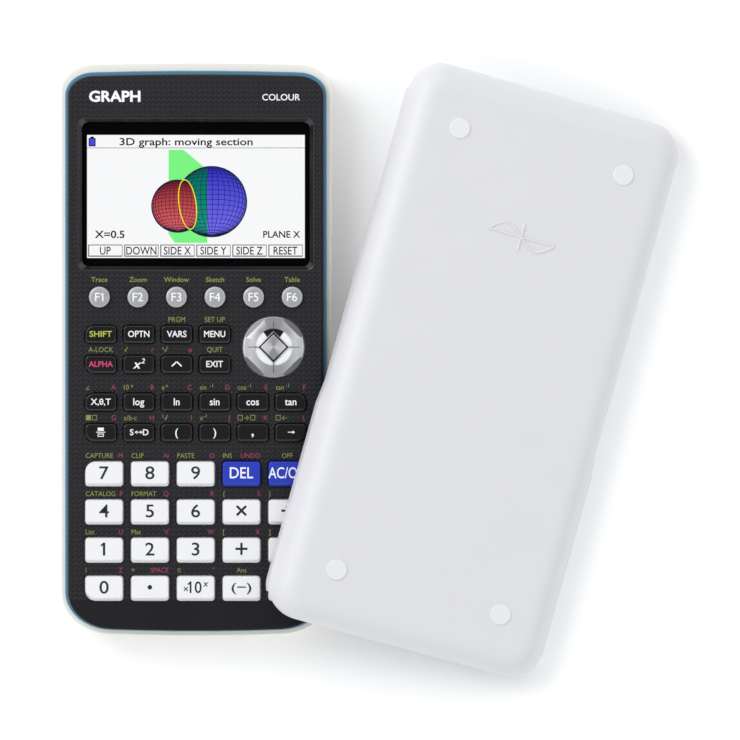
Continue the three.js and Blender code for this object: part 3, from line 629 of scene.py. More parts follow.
def add_lettering(shape, words, place, size, slot=0, align="CENTER", squeeze=1.0,
                  weight=0.0, slant=0.0, proud=PRINT_PROUD):
    """Letters as thin solids. place is the middle of the capitals' height.

    Returns the left and right edges of the letters, in millimetres.
    """
    curve = bpy.data.curves.new("lettering", "FONT")
    curve.body = words
    curve.size = size * MM
    curve.extrude = proud * MM
    curve.offset = 0 if THIN_SIGNS & set(words) else weight * MM
    curve.shear = slant
    curve.resolution_u = 3
    mesh = as_mesh("lettering", curve)
    across = [corner.co.x for corner in mesh.vertices]
    anchor = {"LEFT": min(across), "RIGHT": max(across),
              "CENTER": (min(across) + max(across)) / 2}[align]
    mesh.transform(Matrix.Translation((-anchor, -HALF_CAPITAL * size * MM, 0)))
    mesh.transform(Matrix.Diagonal((squeeze, 1, 1, 1)))
    mesh.transform(Matrix.Translation(Vector(place) * MM))
    known = set(shape.faces)
    shape.from_mesh(mesh)
    for face in set(shape.faces) - known:
        face.material_index = slot
    across = [corner.co.x / MM for corner in mesh.vertices]
    bpy.data.meshes.remove(mesh)
    return min(across), max(across)


def add_bar(shape, middle, half, z, slot, turn=0.0):
    """A thin printed bar at a height, from its middle and its half sizes."""
    (x, y), (across, up) = middle, half
    add_block(shape, (x - across, y - up, z - PRINT_PROUD),
              (x + across, y + up, z + PRINT_PROUD), slot, turn)


def add_flag(shape, stem, y, z, size, slot):
    """The flag at the top left of a figure one whose stem is at x = stem."""
    middle = (stem - 0.09 * size, y + 0.255 * size)
    add_bar(shape, middle, (0.12 * size, 0.045 * size), z, slot, 0.7)


def join_part(shape, part):
    """Puts one shape into another."""
    mesh = bpy.data.meshes.new("part")
    part.to_mesh(mesh)
    part.free()
    shape.from_mesh(mesh)
    bpy.data.meshes.remove(mesh)


PICTURE_HALF = 35.7
PICTURE_LOW, PICTURE_HIGH = 29.95, 70.3
PANEL, INK = 14.42, 14.43
panel_black = moulded("black panel frame", (0.0012, 0.0012, 0.0014), 0.35,
                      Specular_IOR_Level=0.03)
panel_white = lit("lit white", (0.97, 0.975, 0.985))
panel_ink = lit("lit ink", (0.006, 0.006, 0.009))
panel_grey = lit("lit grey", (0.13, 0.13, 0.14))
battery_blue = lit("lit battery blue", (0.08, 0.07, 0.85))
picture_shape = bmesh.new()
window_low, window_high = (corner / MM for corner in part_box("display_window"))
add_block(picture_shape, (window_low.x, window_low.y, 14.31),
          (window_high.x, window_high.y, 14.36))
add_block(picture_shape, (-PICTURE_HALF, PICTURE_LOW, 14.33),
          (PICTURE_HALF, PICTURE_HIGH, PANEL), 1)
HEADER_LINE, HEADER_TEXT = 66.05, 68.1
add_block(picture_shape, (-PICTURE_HALF, HEADER_LINE - 0.09, PANEL - 0.02),
          (PICTURE_HALF, HEADER_LINE + 0.09, INK), 3)
add_block(picture_shape, (-35.2, 66.55, PANEL - 0.02), (-32.9, 69.3, INK), 2)
add_block(picture_shape, (-34.6, 69.3, PANEL - 0.02), (-33.5, 69.75, INK), 2)
add_block(picture_shape, (-34.85, 66.9, PANEL), (-33.25, 69.0, INK + 0.01), 4)
add_lettering(picture_shape, "3D graph: moving section", (-3.2, HEADER_TEXT, INK), 3.4, 2,
              weight=0.05, squeeze=1.25, proud=0.01)
add_lettering(picture_shape, "X=0.5", (-28.3, 37.7, INK), 3.4, 2, weight=0.06,
              squeeze=1.15, proud=0.01)
add_lettering(picture_shape, "PLANE X", (34.2, 37.7, INK), 3.1, 2, "RIGHT",
              weight=0.05, proud=0.01)
SOFT_LABELS = ["UP", "DOWN", "SIDE X", "SIDE Y", "SIDE Z", "RESET"]
BOX_PITCH, BOX_LOW, BOX_HIGH = 11.82, 30.35, 34.35
for number, words in enumerate(SOFT_LABELS):
    left = -35.35 + number * BOX_PITCH
    right = left + BOX_PITCH - 0.55
    add_block(picture_shape, (left, BOX_LOW, PANEL - 0.02), (right, BOX_HIGH, INK), 3)
    add_block(picture_shape, (left + 0.35, BOX_LOW + 0.4, PANEL),
              (right - 0.2, BOX_HIGH - 0.3, INK + 0.01), 1)
    add_lettering(picture_shape, words, ((left + right) / 2, 32.35, INK + 0.02), 3.7, 2,
                  squeeze=0.82, weight=0.03, proud=0.01)
picture = made_piece("display_picture", picture_shape, panel_black, panel_white, panel_ink,
                     panel_grey, battery_blue, even=False)
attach(picture, "calculator_body")

FLAT = 0.004
RED_BALL, RED_RADIUS = Vector((-5.95, 46.95, 14.49)), 8.62
BLUE_BALL, BLUE_RADIUS = Vector((5.14, 48.43, 14.44)), 11.6
CUT_RIGHT = 3.74
plane_green = lit("lit green plane", (0.21, 0.95, 0.24))
ball_line = lit("lit ball line", (0.012, 0.012, 0.05))
blue_shade = lit_shaded("lit blue ball", (0.03, 0.03, 0.55), (0.19, 0.17, 0.98), 37, 59)
teal_shade = lit_shaded("lit teal part", (0.0, 0.16, 0.13), (0.01, 0.34, 0.22), 37, 58)
red_shade = lit_shaded("lit red ball", (0.22, 0.008, 0.012), (0.82, 0.13, 0.13), 40, 55)
cut_yellow = lit("lit yellow curve", (1.0, 0.84, 0.01))


CURVE_MIDDLE, CURVE_HALF, CURVE_LEAN = Vector((-2.75, 47.5, 14.57)), (2.8, 8.15), 0.13


def past_curve(face, middle):
    """Whether a face of the red ball lies beyond the yellow curve, behind the plane."""
    place = face.calc_center_median() / MM + middle - CURVE_MIDDLE
    turned = Matrix.Rotation(-CURVE_LEAN, 2) @ place.xy
    reach = (turned.x / CURVE_HALF[0]) ** 2 + (turned.y / CURVE_HALF[1]) ** 2
    return turned.x > 0 and reach > 1


def flat_ball(shape, middle, radius, tilt, slot, line_slot, cut=None):
    """The near half of a wire ball, pressed flat, with its lines just above it."""
    for lines in (False, True):
        ball = bmesh.new()
        bmesh.ops.create_uvsphere(ball, u_segments=36, v_segments=22, radius=radius * MM)
        turn = Matrix.Rotation(radians(tilt), 4, "X") @ Matrix.Rotation(0.15, 4, "Z")
        bmesh.ops.transform(ball, matrix=turn, verts=ball.verts)
        bmesh.ops.bisect_plane(
            ball, geom=whole(ball), plane_co=(0, 0, 0.02 * MM), plane_no=(0, 0, -1),
            clear_outer=True,
        )
        if lines:
            bmesh.ops.wireframe(ball, faces=ball.faces[:], thickness=0.24 * MM,
                                use_replace=True, use_boundary=True)
        if cut is not None:
            cut_across(ball, 0, cut - middle.x)
        else:
            bmesh.ops.subdivide_edges(ball, edges=ball.edges[:], cuts=3,
                                      use_grid_fill=True)
            beyond = [face for face in ball.faces if past_curve(face, middle)]
            bmesh.ops.delete(ball, geom=beyond, context="FACES")
        for face in ball.faces:
            left_part = cut is not None and (
                face.calc_center_median().x < (cut - middle.x) * MM
            )
            face.material_index = line_slot if lines else slot + int(left_part)
        for corner in ball.verts:
            corner.co.z = corner.co.z * FLAT + (0.012 * MM if lines else 0)
        bmesh.ops.translate(ball, vec=middle * MM, verts=ball.verts)
        join_part(shape, ball)


graph_shape = bmesh.new()
flat_ball(graph_shape, BLUE_BALL, BLUE_RADIUS, 78, 0, 2, CUT_RIGHT)
flat_ball(graph_shape, RED_BALL, RED_RADIUS, 78, 3, 2)
PLANE_CORNERS = [(-8.95, 65.4), (-4.05, 65.4), (3.74, 58.9), (3.74, 34.9), (-6.9, 34.9),
                 (-9.0, 37.8)]
PLANE_HEIGHT = 14.435
corners = [graph_shape.verts.new(Vector((x, y, PLANE_HEIGHT)) * MM)
           for x, y in reversed(PLANE_CORNERS)]
sheet = graph_shape.faces.new(corners)
sheet.material_index = 4
CURVE_STEPS, CURVE_THICK = 72, 0.17
curve_profile = bmesh.new()
bmesh.ops.create_circle(curve_profile, segments=CURVE_STEPS, radius=1)
bmesh.ops.create_circle(curve_profile, segments=CURVE_STEPS, radius=2)
bmesh.ops.bridge_loops(curve_profile, edges=curve_profile.edges[:])
for corner in curve_profile.verts:
    grow = CURVE_THICK if corner.co.length > 1.5 else -CURVE_THICK
    way = corner.co.normalized()
    corner.co = (way.x * (CURVE_HALF[0] + grow), way.y * (CURVE_HALF[1] + grow), 0)
ring_place = Matrix.Translation(CURVE_MIDDLE * MM) @ Matrix.Rotation(CURVE_LEAN, 4, "Z")
bmesh.ops.transform(curve_profile, matrix=ring_place @ Matrix.Scale(MM, 4),
                    verts=curve_profile.verts)
for face in curve_profile.faces:
    face.material_index = 5
    if face.normal.z < 0:
        face.normal_flip()
join_part(graph_shape, curve_profile)
graph = made_piece("display_graph", graph_shape, blue_shade, teal_shade, ball_line,
                   red_shade, plane_green, cut_yellow, even=False)
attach(graph, "calculator_body")
dress("display_module", panel_black)

clear_acrylic, window_tree, window_shader = new_paint(
    "clear acrylic", Base_Color=(0.01, 0.01, 0.012, 1), Alpha=0.02)
window_place = window_tree.nodes.new("ShaderNodeTexCoord").outputs["Object"]
# Fingers leave smears on it, which are a little rougher than the clean window.
SMEAR_SCALE, SMEAR_GAIN, CLEAN_ROUGHNESS = 40, 0.05, 0.02
smear = noise(window_tree, window_place, SMEAR_SCALE, 4)
smear = arithmetic(window_tree, "MULTIPLY_ADD", smear, SMEAR_GAIN, CLEAN_ROUGHNESS)
window_tree.links.new(smear, window_shader.inputs["Roughness"])
dress("display_window", clear_acrylic)

# ---- Round function keys ----
# Six domed ABS buttons in silver paint, brushed on the slant, with white print.
# Each stands on its own silicone dome and is held in by a flange under the plate.

# The strokes mix a dark and a light colour. A sheen level also moves that mix towards the
# light colour, which paints a highlight into the colour where a material varies it.
brushed, brushed_in, brushed_out = surface_group(
    "brushed silver", ("Stroke", "Vector"), ("Dark", "Color", (0.2, 0.2, 0.2, 1)),
    ("Light", "Color", (0.6, 0.6, 0.6, 1)), ("Roughness", "Float", 0.35),
    ("Sweep", "Float", 0.5),
)
strokes = noise(brushed, brushed_in.outputs["Stroke"], 1.0, 3)
# The share of the colour mix that goes to the painted sheen.
SHEEN_SHARE = 0.6
sheen_and_stroke_mix = brushed.nodes.new("ShaderNodeMix")
sheen_and_stroke_mix.data_type = "RGBA"
sheen_and_strokes = arithmetic(brushed, "MULTIPLY", brushed_in.outputs["Sweep"], SHEEN_SHARE)
sheen_and_strokes = arithmetic(brushed, "MULTIPLY_ADD", strokes, 1 - SHEEN_SHARE, sheen_and_strokes)
brushed.links.new(sheen_and_strokes, sheen_and_stroke_mix.inputs["Factor"])
brushed.links.new(brushed_in.outputs["Dark"], sheen_and_stroke_mix.inputs[6])
brushed.links.new(brushed_in.outputs["Light"], sheen_and_stroke_mix.inputs[7])
brushed.links.new(sheen_and_stroke_mix.outputs[2], brushed_out.inputs["Colour"])
stroke_gloss = arithmetic(brushed, "MULTIPLY_ADD", strokes, 0.2,
                          brushed_in.outputs["Roughness"])
brushed.links.new(stroke_gloss, brushed_out.inputs["Roughness"])
stroke_relief = brushed.nodes.new("ShaderNodeBump")
stroke_relief.inputs["Distance"].default_value = 0.004 * MM
brushed.links.new(strokes, stroke_relief.inputs["Height"])
brushed.links.new(stroke_relief.outputs[0], brushed_out.inputs["Normal"])


def brushed_paint(name, dark, light, roughness, metallic):
    """A brushed silver paint, and its group node, whose strokes are still to be laid."""
    material, tree, shader = new_paint(name, Metallic=metallic)
    surface = lay_surface(tree, shader, brushed, Dark=(*dark, 1), Light=(*light, 1),
                          Roughness=roughness)
    return material, surface


button_silver, button_strokes = brushed_paint(
    "slant-brushed silver", (0.16, 0.16, 0.17), (0.74, 0.74, 0.76), 0.3, 0.4)
button_tree = button_silver.node_tree
button_map = button_tree.nodes.new("ShaderNodeMapping")
button_map.vector_type = "TEXTURE"
button_map.inputs["Rotation"].default_value = (0, 0, radians(42))
button_map.inputs["Scale"].default_value = (4 * MM, 0.22 * MM, 1)
button_tree.links.new(
    button_tree.nodes.new("ShaderNodeTexCoord").outputs["Object"],
    button_map.inputs["Vector"],
)
button_tree.links.new(button_map.outputs[0], button_strokes.inputs["Stroke"])


def inset(shape, face, width):
    bmesh.ops.inset_region(shape, faces=[face], thickness=width * MM, use_even_offset=True)


FLANGE_LOW, FLANGE_HIGH, FLANGE = 14.4, 15.4, 0.7
white_print = moulded("white print", (0.86, 0.86, 0.86), 0.5)
F_DIAMETER, F_PITCH, F_ROW, F_TOP = 6.8, 12.63, 17.1, 18.4
# The dome's steps: how far each rises and comes in.
F_DOME_LOW, F_DOME = 0.35, ((0.15, 0.12), (0.12, 0.3), (0.06, 0.9))
for number in range(6):
    x = (number - 2.5) * F_PITCH
    shape = bmesh.new()
    bmesh.ops.create_circle(
        shape, cap_ends=True, segments=48, radius=(F_DIAMETER / 2 + FLANGE) * MM,
        matrix=Matrix.Translation(Vector((x, F_ROW, FLANGE_LOW)) * MM),
    )
    face = raise_face(shape, shape.faces[:][0], FLANGE_HIGH - FLANGE_LOW)
    inset(shape, face, FLANGE)
    face = raise_face(shape, face, F_TOP - F_DOME_LOW - FLANGE_HIGH)
    for rise, width in F_DOME:
        inset(shape, face, width)
        bmesh.ops.translate(shape, verts=face.verts[:], vec=(0, 0, rise * MM))
    face_outwards(shape)
    _, right = add_lettering(shape, f"F{number + 1}", (x, F_ROW, F_TOP), 4.0, 1,
                             squeeze=0.98, weight=0.04)
    if number == 0:
        add_flag(shape, right - 0.25, F_ROW, F_TOP, 4.0, 1)
    key = made_piece(f"button_f{number + 1}", shape, button_silver, white_print)
    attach(key, f"key_f{number + 1}")
    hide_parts(f"key_f{number + 1}")

# ---- Black function keys ----
# Small gloss black ABS caps with printed legends, in four rows.
# The keys at the ends of the block have one large corner, so that it looks rounded.


def key_cap(size, centre, corners, top, slope, front):
    """A key cap on its flange, whose crown leans in, most of all at its front."""
    width, depth = size
    grown = {place: radius + FLANGE for place, radius in corners.items()}
    shape = rounded_face(width + 2 * FLANGE, depth + 2 * FLANGE, centre, FLANGE_LOW, grown)
    face = raise_face(shape, shape.faces[:][0], FLANGE_HIGH - FLANGE_LOW)
    inset(shape, face, FLANGE)
    face = raise_face(shape, face, top - slope - FLANGE_HIGH)
    face = raise_face(shape, face, slope)
    SIDE_LEAN = 0.3
    middle = Vector((*centre, 0)) * MM
    narrow = Vector((1 - 2 * SIDE_LEAN / width, 1 - (front + SIDE_LEAN) / depth, 1))
    bmesh.ops.scale(shape, vec=narrow, verts=face.verts[:],
                    space=Matrix.Translation(-middle))
    bmesh.ops.translate(shape, verts=face.verts[:],
                        vec=(0, (front - SIDE_LEAN) / 2 * MM, 0))
    face_outwards(shape)
    crown = (top - 0.01) * MM
    round_edges(shape, 0.22, 3, lambda edge: min(v.co.z for v in edge.verts) > crown, 12)
    return shape


def one_big(place, small, big):
    corners = even_corners(small)
    if place is not None:
        corners[place] = big
    return corners


LOW_LEFT, HIGH_LEFT = (False, False), (False, True)
LOW_RIGHT, HIGH_RIGHT = (True, False), (True, True)
BLACK_SIZE, BLACK_TOP, BLACK_PITCH = (10.2, 5.8), 18.1, 12.44
BLACK_ROWS = [
    (4.9, ["shift", "option", "vars", "menu"]),
    (-4.95, ["alpha", "square", "power", "exit"]),
    (-17.3, ["x_theta_t", "log", "ln", "sin", "cos", "tan"]),
    (-27.3, ["fraction", "convert", "paren_open", "paren_close", "comma", "store"]),
]
BLACK_BIG = {"shift": HIGH_LEFT, "alpha": LOW_LEFT, "x_theta_t": HIGH_LEFT,
             "fraction": LOW_LEFT, "tan": HIGH_RIGHT, "store": LOW_RIGHT}
# Each legend: its words, size, slot and squeeze.
BLACK_LEGENDS = {
    "shift": ("SHIFT", 2.7, 2, 1.1), "option": ("OPTN", 2.9, 1, 0.92),
    "vars": ("VARS", 2.9, 1, 0.95), "menu": ("MENU", 2.9, 1, 0.9),
    "alpha": ("ALPHA", 2.7, 3, 0.95), "exit": ("EXIT", 2.9, 1, 0.95),
    "log": ("log", 3.3, 1, 0.95), "ln": ("ln", 3.3, 1, 0.95), "sin": ("sin", 3.3, 1, 0.95),
    "cos": ("cos", 3.3, 1, 0.95), "tan": ("tan", 3.3, 1, 0.95),
    "x_theta_t": ("X,0,T", 2.9, 1, 1.0), "paren_open": ("(", 3.6, 1, 1.0),
    "paren_close": (")", 3.6, 1, 1.0), "comma": (",", 4.8, 1, 1.1),
}


def add_arrow(shape, x, y, z, length, slot, ways=(1,)):
    """A bar along X with a triangular head at its right end, or at both ends."""
    reach = length / 2 - 0.4
    add_bar(shape, (x, y), (reach, 0.13), z, slot)
    for way in ways:
        add_disc(shape, 0.62, (x + way * reach, y), z - PRINT_PROUD, z + PRINT_PROUD, 3,
                 slot, -way * pi / 2)


key_black = moulded("gloss black ABS", (0.0075, 0.0075, 0.008), 0.26, 3500, 0.0015, 0.2)
green_print = moulded("yellow-green print", (0.46, 0.49, 0.07), 0.5)
pink_print = moulded("pink print", (0.62, 0.05, 0.15), 0.5)
for y, names in BLACK_ROWS:
    for column, name in enumerate(names):
        x = (column - 2.5) * BLACK_PITCH
        shape = key_cap(BLACK_SIZE, (x, y), one_big(BLACK_BIG.get(name), 1.3, 2.9),
                        BLACK_TOP, 0.45, 0.55)
        middle = y + 0.12
        if name in BLACK_LEGENDS:
            words, size, slot, squeeze = BLACK_LEGENDS[name]
            drop = 0.55 if words == "," else 0.0
            add_lettering(shape, words, (x, middle + drop, BLACK_TOP), size, slot,
                          squeeze=squeeze, weight=0.04)
            if name == "x_theta_t":
                add_bar(shape, (x - 0.05, middle), (0.5, 0.13), BLACK_TOP, 1)
        elif name == "power":
            for side in (-1, 1):
                add_bar(shape, (x + side * 0.82, middle), (1.1, 0.22), BLACK_TOP, 1,
                        -side * 0.75)
        elif name == "convert":
            for letter, off in (("S", -2.3), ("D", 2.3)):
                add_lettering(shape, letter, (x + off, middle, BLACK_TOP), 2.8, 1,
                              weight=0.04)
            add_arrow(shape, x, middle, BLACK_TOP, 2.4, 1, (-1, 1))
        elif name == "store":
            add_arrow(shape, x, middle, BLACK_TOP, 2.6, 1)
        elif name == "square":
            add_lettering(shape, "x", (x - 0.5, middle, BLACK_TOP), 4.2, 1, weight=0.06,
                          slant=0.25)
            add_lettering(shape, "2", (x + 1.4, middle + 1.0, BLACK_TOP), 2.3, 1,
                          weight=0.03, slant=0.25)
        else:
            # A fraction: a full box over a line, and an open box under it.
            for off, half in ((0.975, (1.0, 0.525)), (0.01, (1.5, 0.13)),
                              (-0.975, (1.0, 0.525))):
                add_bar(shape, (x, middle + off), half, BLACK_TOP, 1)
            add_bar(shape, (x, middle - 0.975), (0.75, 0.275), BLACK_TOP + 0.01, 0)
        key = made_piece(f"cap_{name}", shape, key_black, white_print, green_print,
                         pink_print)
        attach(key, f"key_{name}")
        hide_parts(f"key_{name}")

# ---- White and blue keys ----
# Larger satin ABS caps for digits and sums, white with dark print.
# The two that clear and delete are blue with white print.

DIGIT_SIZE, DIGIT_TOP, DIGIT_PITCH = (12.5, 8.2), 18.6, 15.0
DIGIT_ROWS = [
    (-40.8, ["7", "8", "9", "delete", "ac_on"]),
    (-53.3, ["4", "5", "6", "multiply", "divide"]),
    (-65.8, ["1", "2", "3", "add", "subtract"]),
    (-78.3, ["0", "point", "exponent", "negative", "execute"]),
]
DIGIT_BIG = {"7": HIGH_LEFT, "ac_on": HIGH_RIGHT, "0": LOW_LEFT, "execute": LOW_RIGHT}
DIGIT_LEGENDS = {
    "delete": ("DEL", 5.2, 0.88), "ac_on": ("AC/ON", 5.2, 0.74),
    "multiply": ("\u00d7", 8.2, 1.0), "divide": ("\u00f7", 8.0, 1.0),
    "add": ("+", 8.2, 1.0), "subtract": ("\u2212", 8.2, 1.0),
    "negative": ("(\u2212)", 4.0, 1.45), "execute": ("EXE", 5.0, 0.95),
}
key_white = moulded("satin white ABS", (0.83, 0.83, 0.84), 0.3, 2500, 0.0015, 0.03)
key_blue = moulded("satin blue ABS", (0.022, 0.045, 0.47), 0.3, 2500, 0.0015, 0.06)
dark_print = moulded("dark print", (0.012, 0.014, 0.018), 0.5)
for y, names in DIGIT_ROWS:
    for column, name in enumerate(names):
        x = (column - 2) * DIGIT_PITCH
        shape = key_cap(DIGIT_SIZE, (x, y), one_big(DIGIT_BIG.get(name), 1.1, 3.4),
                        DIGIT_TOP, 1.15, 0.95)
        middle = y + 0.35
        is_blue = name in ("delete", "ac_on")
        if name.isdigit():
            _, right = add_lettering(shape, name, (x, middle, DIGIT_TOP), 6.0, 1,
                                     squeeze=1.12, weight=0.05)
            if name == "1":
                add_flag(shape, right - 0.33, middle, DIGIT_TOP, 6.0, 1)
        elif name in DIGIT_LEGENDS:
            words, size, squeeze = DIGIT_LEGENDS[name]
            add_lettering(shape, words, (x, middle, DIGIT_TOP), size, 1, squeeze=squeeze,
                          weight=0.04)
        elif name == "point":
            add_disc(shape, 0.75, (x, middle), DIGIT_TOP - 0.03, DIGIT_TOP + 0.03, 24, 1)
        else:
            add_lettering(shape, "\u00d7", (x - 3.2, middle - 0.6, DIGIT_TOP), 3.6, 1)
            left, _ = add_lettering(shape, "10", (x, middle, DIGIT_TOP), 5.4, 1,
                                    squeeze=0.92, weight=0.05)
            add_flag(shape, left + 0.3, middle, DIGIT_TOP, 5.0, 1)
            add_lettering(shape, "x", (x + 3.3, middle + 1.3, DIGIT_TOP), 3.0, 1,
                          weight=0.03, slant=0.25)
        paints = (key_blue, white_print) if is_blue else (key_white, dark_print)
        key = made_piece(f"cap_{name}", shape, *paints)
        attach(key, f"key_{name}")
        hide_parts(f"key_{name}")


# ---- Printed words on the face ----
# The second and third uses of the keys, pad-printed above them.
# Yellow-green goes with the shift key and pink with the alpha key.

FACE_PRINT = 17.0
print_shape = bmesh.new()


def print_on_face(words, x, y, size, slot, align="CENTER", **style):
    add_lettering(print_shape, words, (x, y, FACE_PRINT), size, slot, align, proud=0.02,
                  **style)


print_on_face("GRAPH", -35.0, 82.9, 4.9, 0, "LEFT", squeeze=1.08, weight=0.16)
print_on_face("COLOUR", 34.2, 82.6, 3.0, 0, "RIGHT", weight=0.03)
F_WORDS = ["Trace", "Zoom", "Window", "Sketch", "Solve", "Table"]
for number, words in enumerate(F_WORDS):
    print_on_face(words, (number - 2.5) * F_PITCH, F_ROW + 5.75, 2.3, 1, weight=0.02)
# Over each black key: its middle, left and right words.
BLACK_WORDS = {
    "vars": ("PRGM", "", ""), "menu": ("SET UP", "", ""), "alpha": ("A-LOCK", "", ""),
    "square": ("", "\u221a", "r"), "power": ("", "x\u221a", "\u00f8"),
    "exit": ("QUIT", "", ""), "x_theta_t": ("", "\u2220", "A"), "log": ("", "10^x", "B"),
    "ln": ("", "e^x", "C"), "sin": ("", "sin^-1", "D"), "cos": ("", "cos^-1", "E"),
    "tan": ("", "tan^-1", "F"), "fraction": ("", "\u25a0\u25a1", "G"),
    "convert": ("", "a/b-c", "H"), "paren_open": ("", "3\u221a", "I"),
    "paren_close": ("", "x^-1", "J"), "comma": ("", "\u25a1\u2192\u25a1", "K"),
    "store": ("", "\u25a1\u2190", "L"),
}
DIGIT_WORDS = {
    "7": ("", "CAPTURE", "M"), "8": ("", "CLIP", "N"), "9": ("", "PASTE", "O"),
    "delete": ("", "INS", "UNDO"), "ac_on": ("OFF", "", ""),
    "4": ("", "CATALOG", "P"), "5": ("", "FORMAT", "Q"), "6": ("", "", "R"),
    "multiply": ("", "{", "S"), "divide": ("", "}", "T"), "1": ("", "List", "U"),
    "2": ("", "Mat", "V"), "3": ("", "", "W"), "add": ("", "[", "X"),
    "subtract": ("", "]", "Y"), "0": ("", "i", "Z"), "point": ("", "=", "SPACE"),
    "exponent": ("", "\u03c0", "\""), "negative": ("Ans", "", ""),
}


RAISED = 0.6


def add_words(words, x, y, size, slot, align):
    """A label, in which ^ starts a raised part and a root may follow its index."""
    if "^" in words:
        base, raised = words.split("^")
        print_on_face(base, x, y, size, slot, align, squeeze=0.9)
        reach = LETTER_ADVANCE * size * len(base) + 0.15
        print_on_face(raised, x + reach, y + RAISED, size * 0.72, slot, align)
    elif words[:1] in ("3", "x") and words.endswith("\u221a"):
        print_on_face(words[0], x, y + RAISED, size * 0.55, slot, align)
        print_on_face("\u221a", x + 0.6, y, size, slot, align)
    else:
        print_on_face(words, x, y, size, slot, align, squeeze=0.92)


# Each group: its rows, words, pitch, middle column, key width, rise and letter size.
WORD_GROUPS = [
    (BLACK_ROWS, BLACK_WORDS, BLACK_PITCH, 2.5, BLACK_SIZE[0], 4.85, 2.4),
    (DIGIT_ROWS, DIGIT_WORDS, DIGIT_PITCH, 2, DIGIT_SIZE[0], 5.95, 2.3),
]
for rows, table, pitch, first, width, above, size in WORD_GROUPS:
    edge = width / 2 - 0.2
    columns = ((0, 1, "CENTER"), (-edge, 1, "LEFT"), (edge, 2, "RIGHT"))
    for y, names in rows:
        for column, name in enumerate(names):
            x = (column - first) * pitch
            for words, (off, slot, align) in zip(table.get(name, ()), columns):
                if words:
                    add_words(words, x + off, y + above, size, slot, align)
face_green = moulded("thin yellow-green print", (0.25, 0.26, 0.06), 0.5)
face_pink = moulded("thin pink print", (0.32, 0.035, 0.10), 0.5)
face_print = made_piece("face_print", print_shape, white_print, face_green, face_pink,
                        even=False)
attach(face_print, "calculator_body")

# ---- Cursor pad and hub ----
# A round rocking pad in spun silver paint with a painted sheen, with four slanted facets
# and a sunk ring.
# The diamond hub in its middle is the pivot, and carries four small facets.

PAD_MIDDLE = Vector((25.5, 0.7))
spun_silver_sheen, spun_strokes = brushed_paint(
    "spun silver with painted sheen", (0.22, 0.22, 0.23), (0.76, 0.76, 0.78), 0.32, 0.45)
spun_tree = spun_silver_sheen.node_tree
spun_place = spun_tree.nodes.new("ShaderNodeTexCoord").outputs["Object"]
spun_middle = spun_tree.nodes.new("ShaderNodeMapping")
spun_middle.inputs["Location"].default_value = (*(-PAD_MIDDLE * MM), 0)
spun_tree.links.new(spun_place, spun_middle.inputs["Vector"])
spun_axes = spun_tree.nodes.new("ShaderNodeSeparateXYZ")
spun_tree.links.new(spun_middle.outputs[0], spun_axes.inputs[0])
# Painted sheen: two opposite sectors are painted lighter and the other two darker, as spun
# metal reflects; on the hub the sectors turn by 45 degrees.
bearing = arithmetic(spun_tree, "ARCTAN2", spun_axes.outputs["Y"], spun_axes.outputs["X"])
spun_reach = spun_tree.nodes.new("ShaderNodeVectorMath")
spun_reach.operation = "LENGTH"
spun_tree.links.new(spun_middle.outputs[0], spun_reach.inputs[0])
SHEEN_LOBES, HUB_EDGE = 2, 4.55
on_hub = arithmetic(spun_tree, "LESS_THAN", spun_reach.outputs["Value"], HUB_EDGE * MM)
sheen_lobe = arithmetic(spun_tree, "MULTIPLY", on_hub, -pi / 2)
sheen_lobe = arithmetic(spun_tree, "MULTIPLY_ADD", bearing, SHEEN_LOBES, sheen_lobe)
sheen_lobe = arithmetic(spun_tree, "COSINE", sheen_lobe)
sheen_level = arithmetic(spun_tree, "MULTIPLY_ADD", sheen_lobe, 0.5, 0.5)
spun_tree.links.new(sheen_level, spun_strokes.inputs["Sweep"])
spun_line = arithmetic(spun_tree, "MULTIPLY", spun_reach.outputs["Value"], 0.9 / MM)
spun_vector = spun_tree.nodes.new("ShaderNodeCombineXYZ")
spun_tree.links.new(spun_line, spun_vector.inputs["X"])
spun_tree.links.new(arithmetic(spun_tree, "MULTIPLY", sheen_lobe, 1.3), spun_vector.inputs["Y"])
spun_tree.links.new(arithmetic(spun_tree, "SINE", bearing), spun_vector.inputs["Z"])
spun_tree.links.new(spun_vector.outputs[0], spun_strokes.inputs["Stroke"])

PAD_TOP, PAD_STEPS = 18.2, 96
HUB_REACH, HUB_LOW, HUB_POINT = 4.2, 14.4, 0.28
# Each point: its distance from the middle, its height, and whether it is on the diamond.
PAD_PROFILE = [
    (4.9, 13.9, True), (11.6, 13.9, False), (11.6, 14.89, False), (10.1, 14.89, False),
    (10.1, 17.45, False), (10.0, 17.75, False), (9.8, 17.95, False), (9.45, 18.08, False),
    (6.35, 18.2, False), (6.15, 18.12, False), (6.0, 17.75, False), (5.35, 17.75, True),
    (5.2, 18.1, True), (5.0, 18.15, True), (4.9, 18.0, True),
]
pad_shape = bmesh.new()
points = [pad_shape.verts.new(Vector((reach, 0, height)) * MM)
          for reach, height, _ in PAD_PROFILE]
edges = [pad_shape.edges.new(pair) for pair in zip(points, points[1:] + points[:1])]
bmesh.ops.spin(pad_shape, geom=points + edges, cent=(0, 0, 0), axis=(0, 0, 1),
               angle=2 * pi, steps=PAD_STEPS, use_merge=True)
bmesh.ops.remove_doubles(pad_shape, verts=pad_shape.verts, dist=1e-6)
DIAMOND_REACH = 5.5 * MM
for corner in pad_shape.verts:
    reach = corner.co.xy.length
    if reach < DIAMOND_REACH:
        way = corner.co.xy / reach
        spread = abs(way.x) + abs(way.y)
        corner.co.xy = way * reach / spread
FACET_REACH, FACET_HEIGHT, FACET_TILT, FACET_SLOT = 8.45, 18.1, radians(24), 4
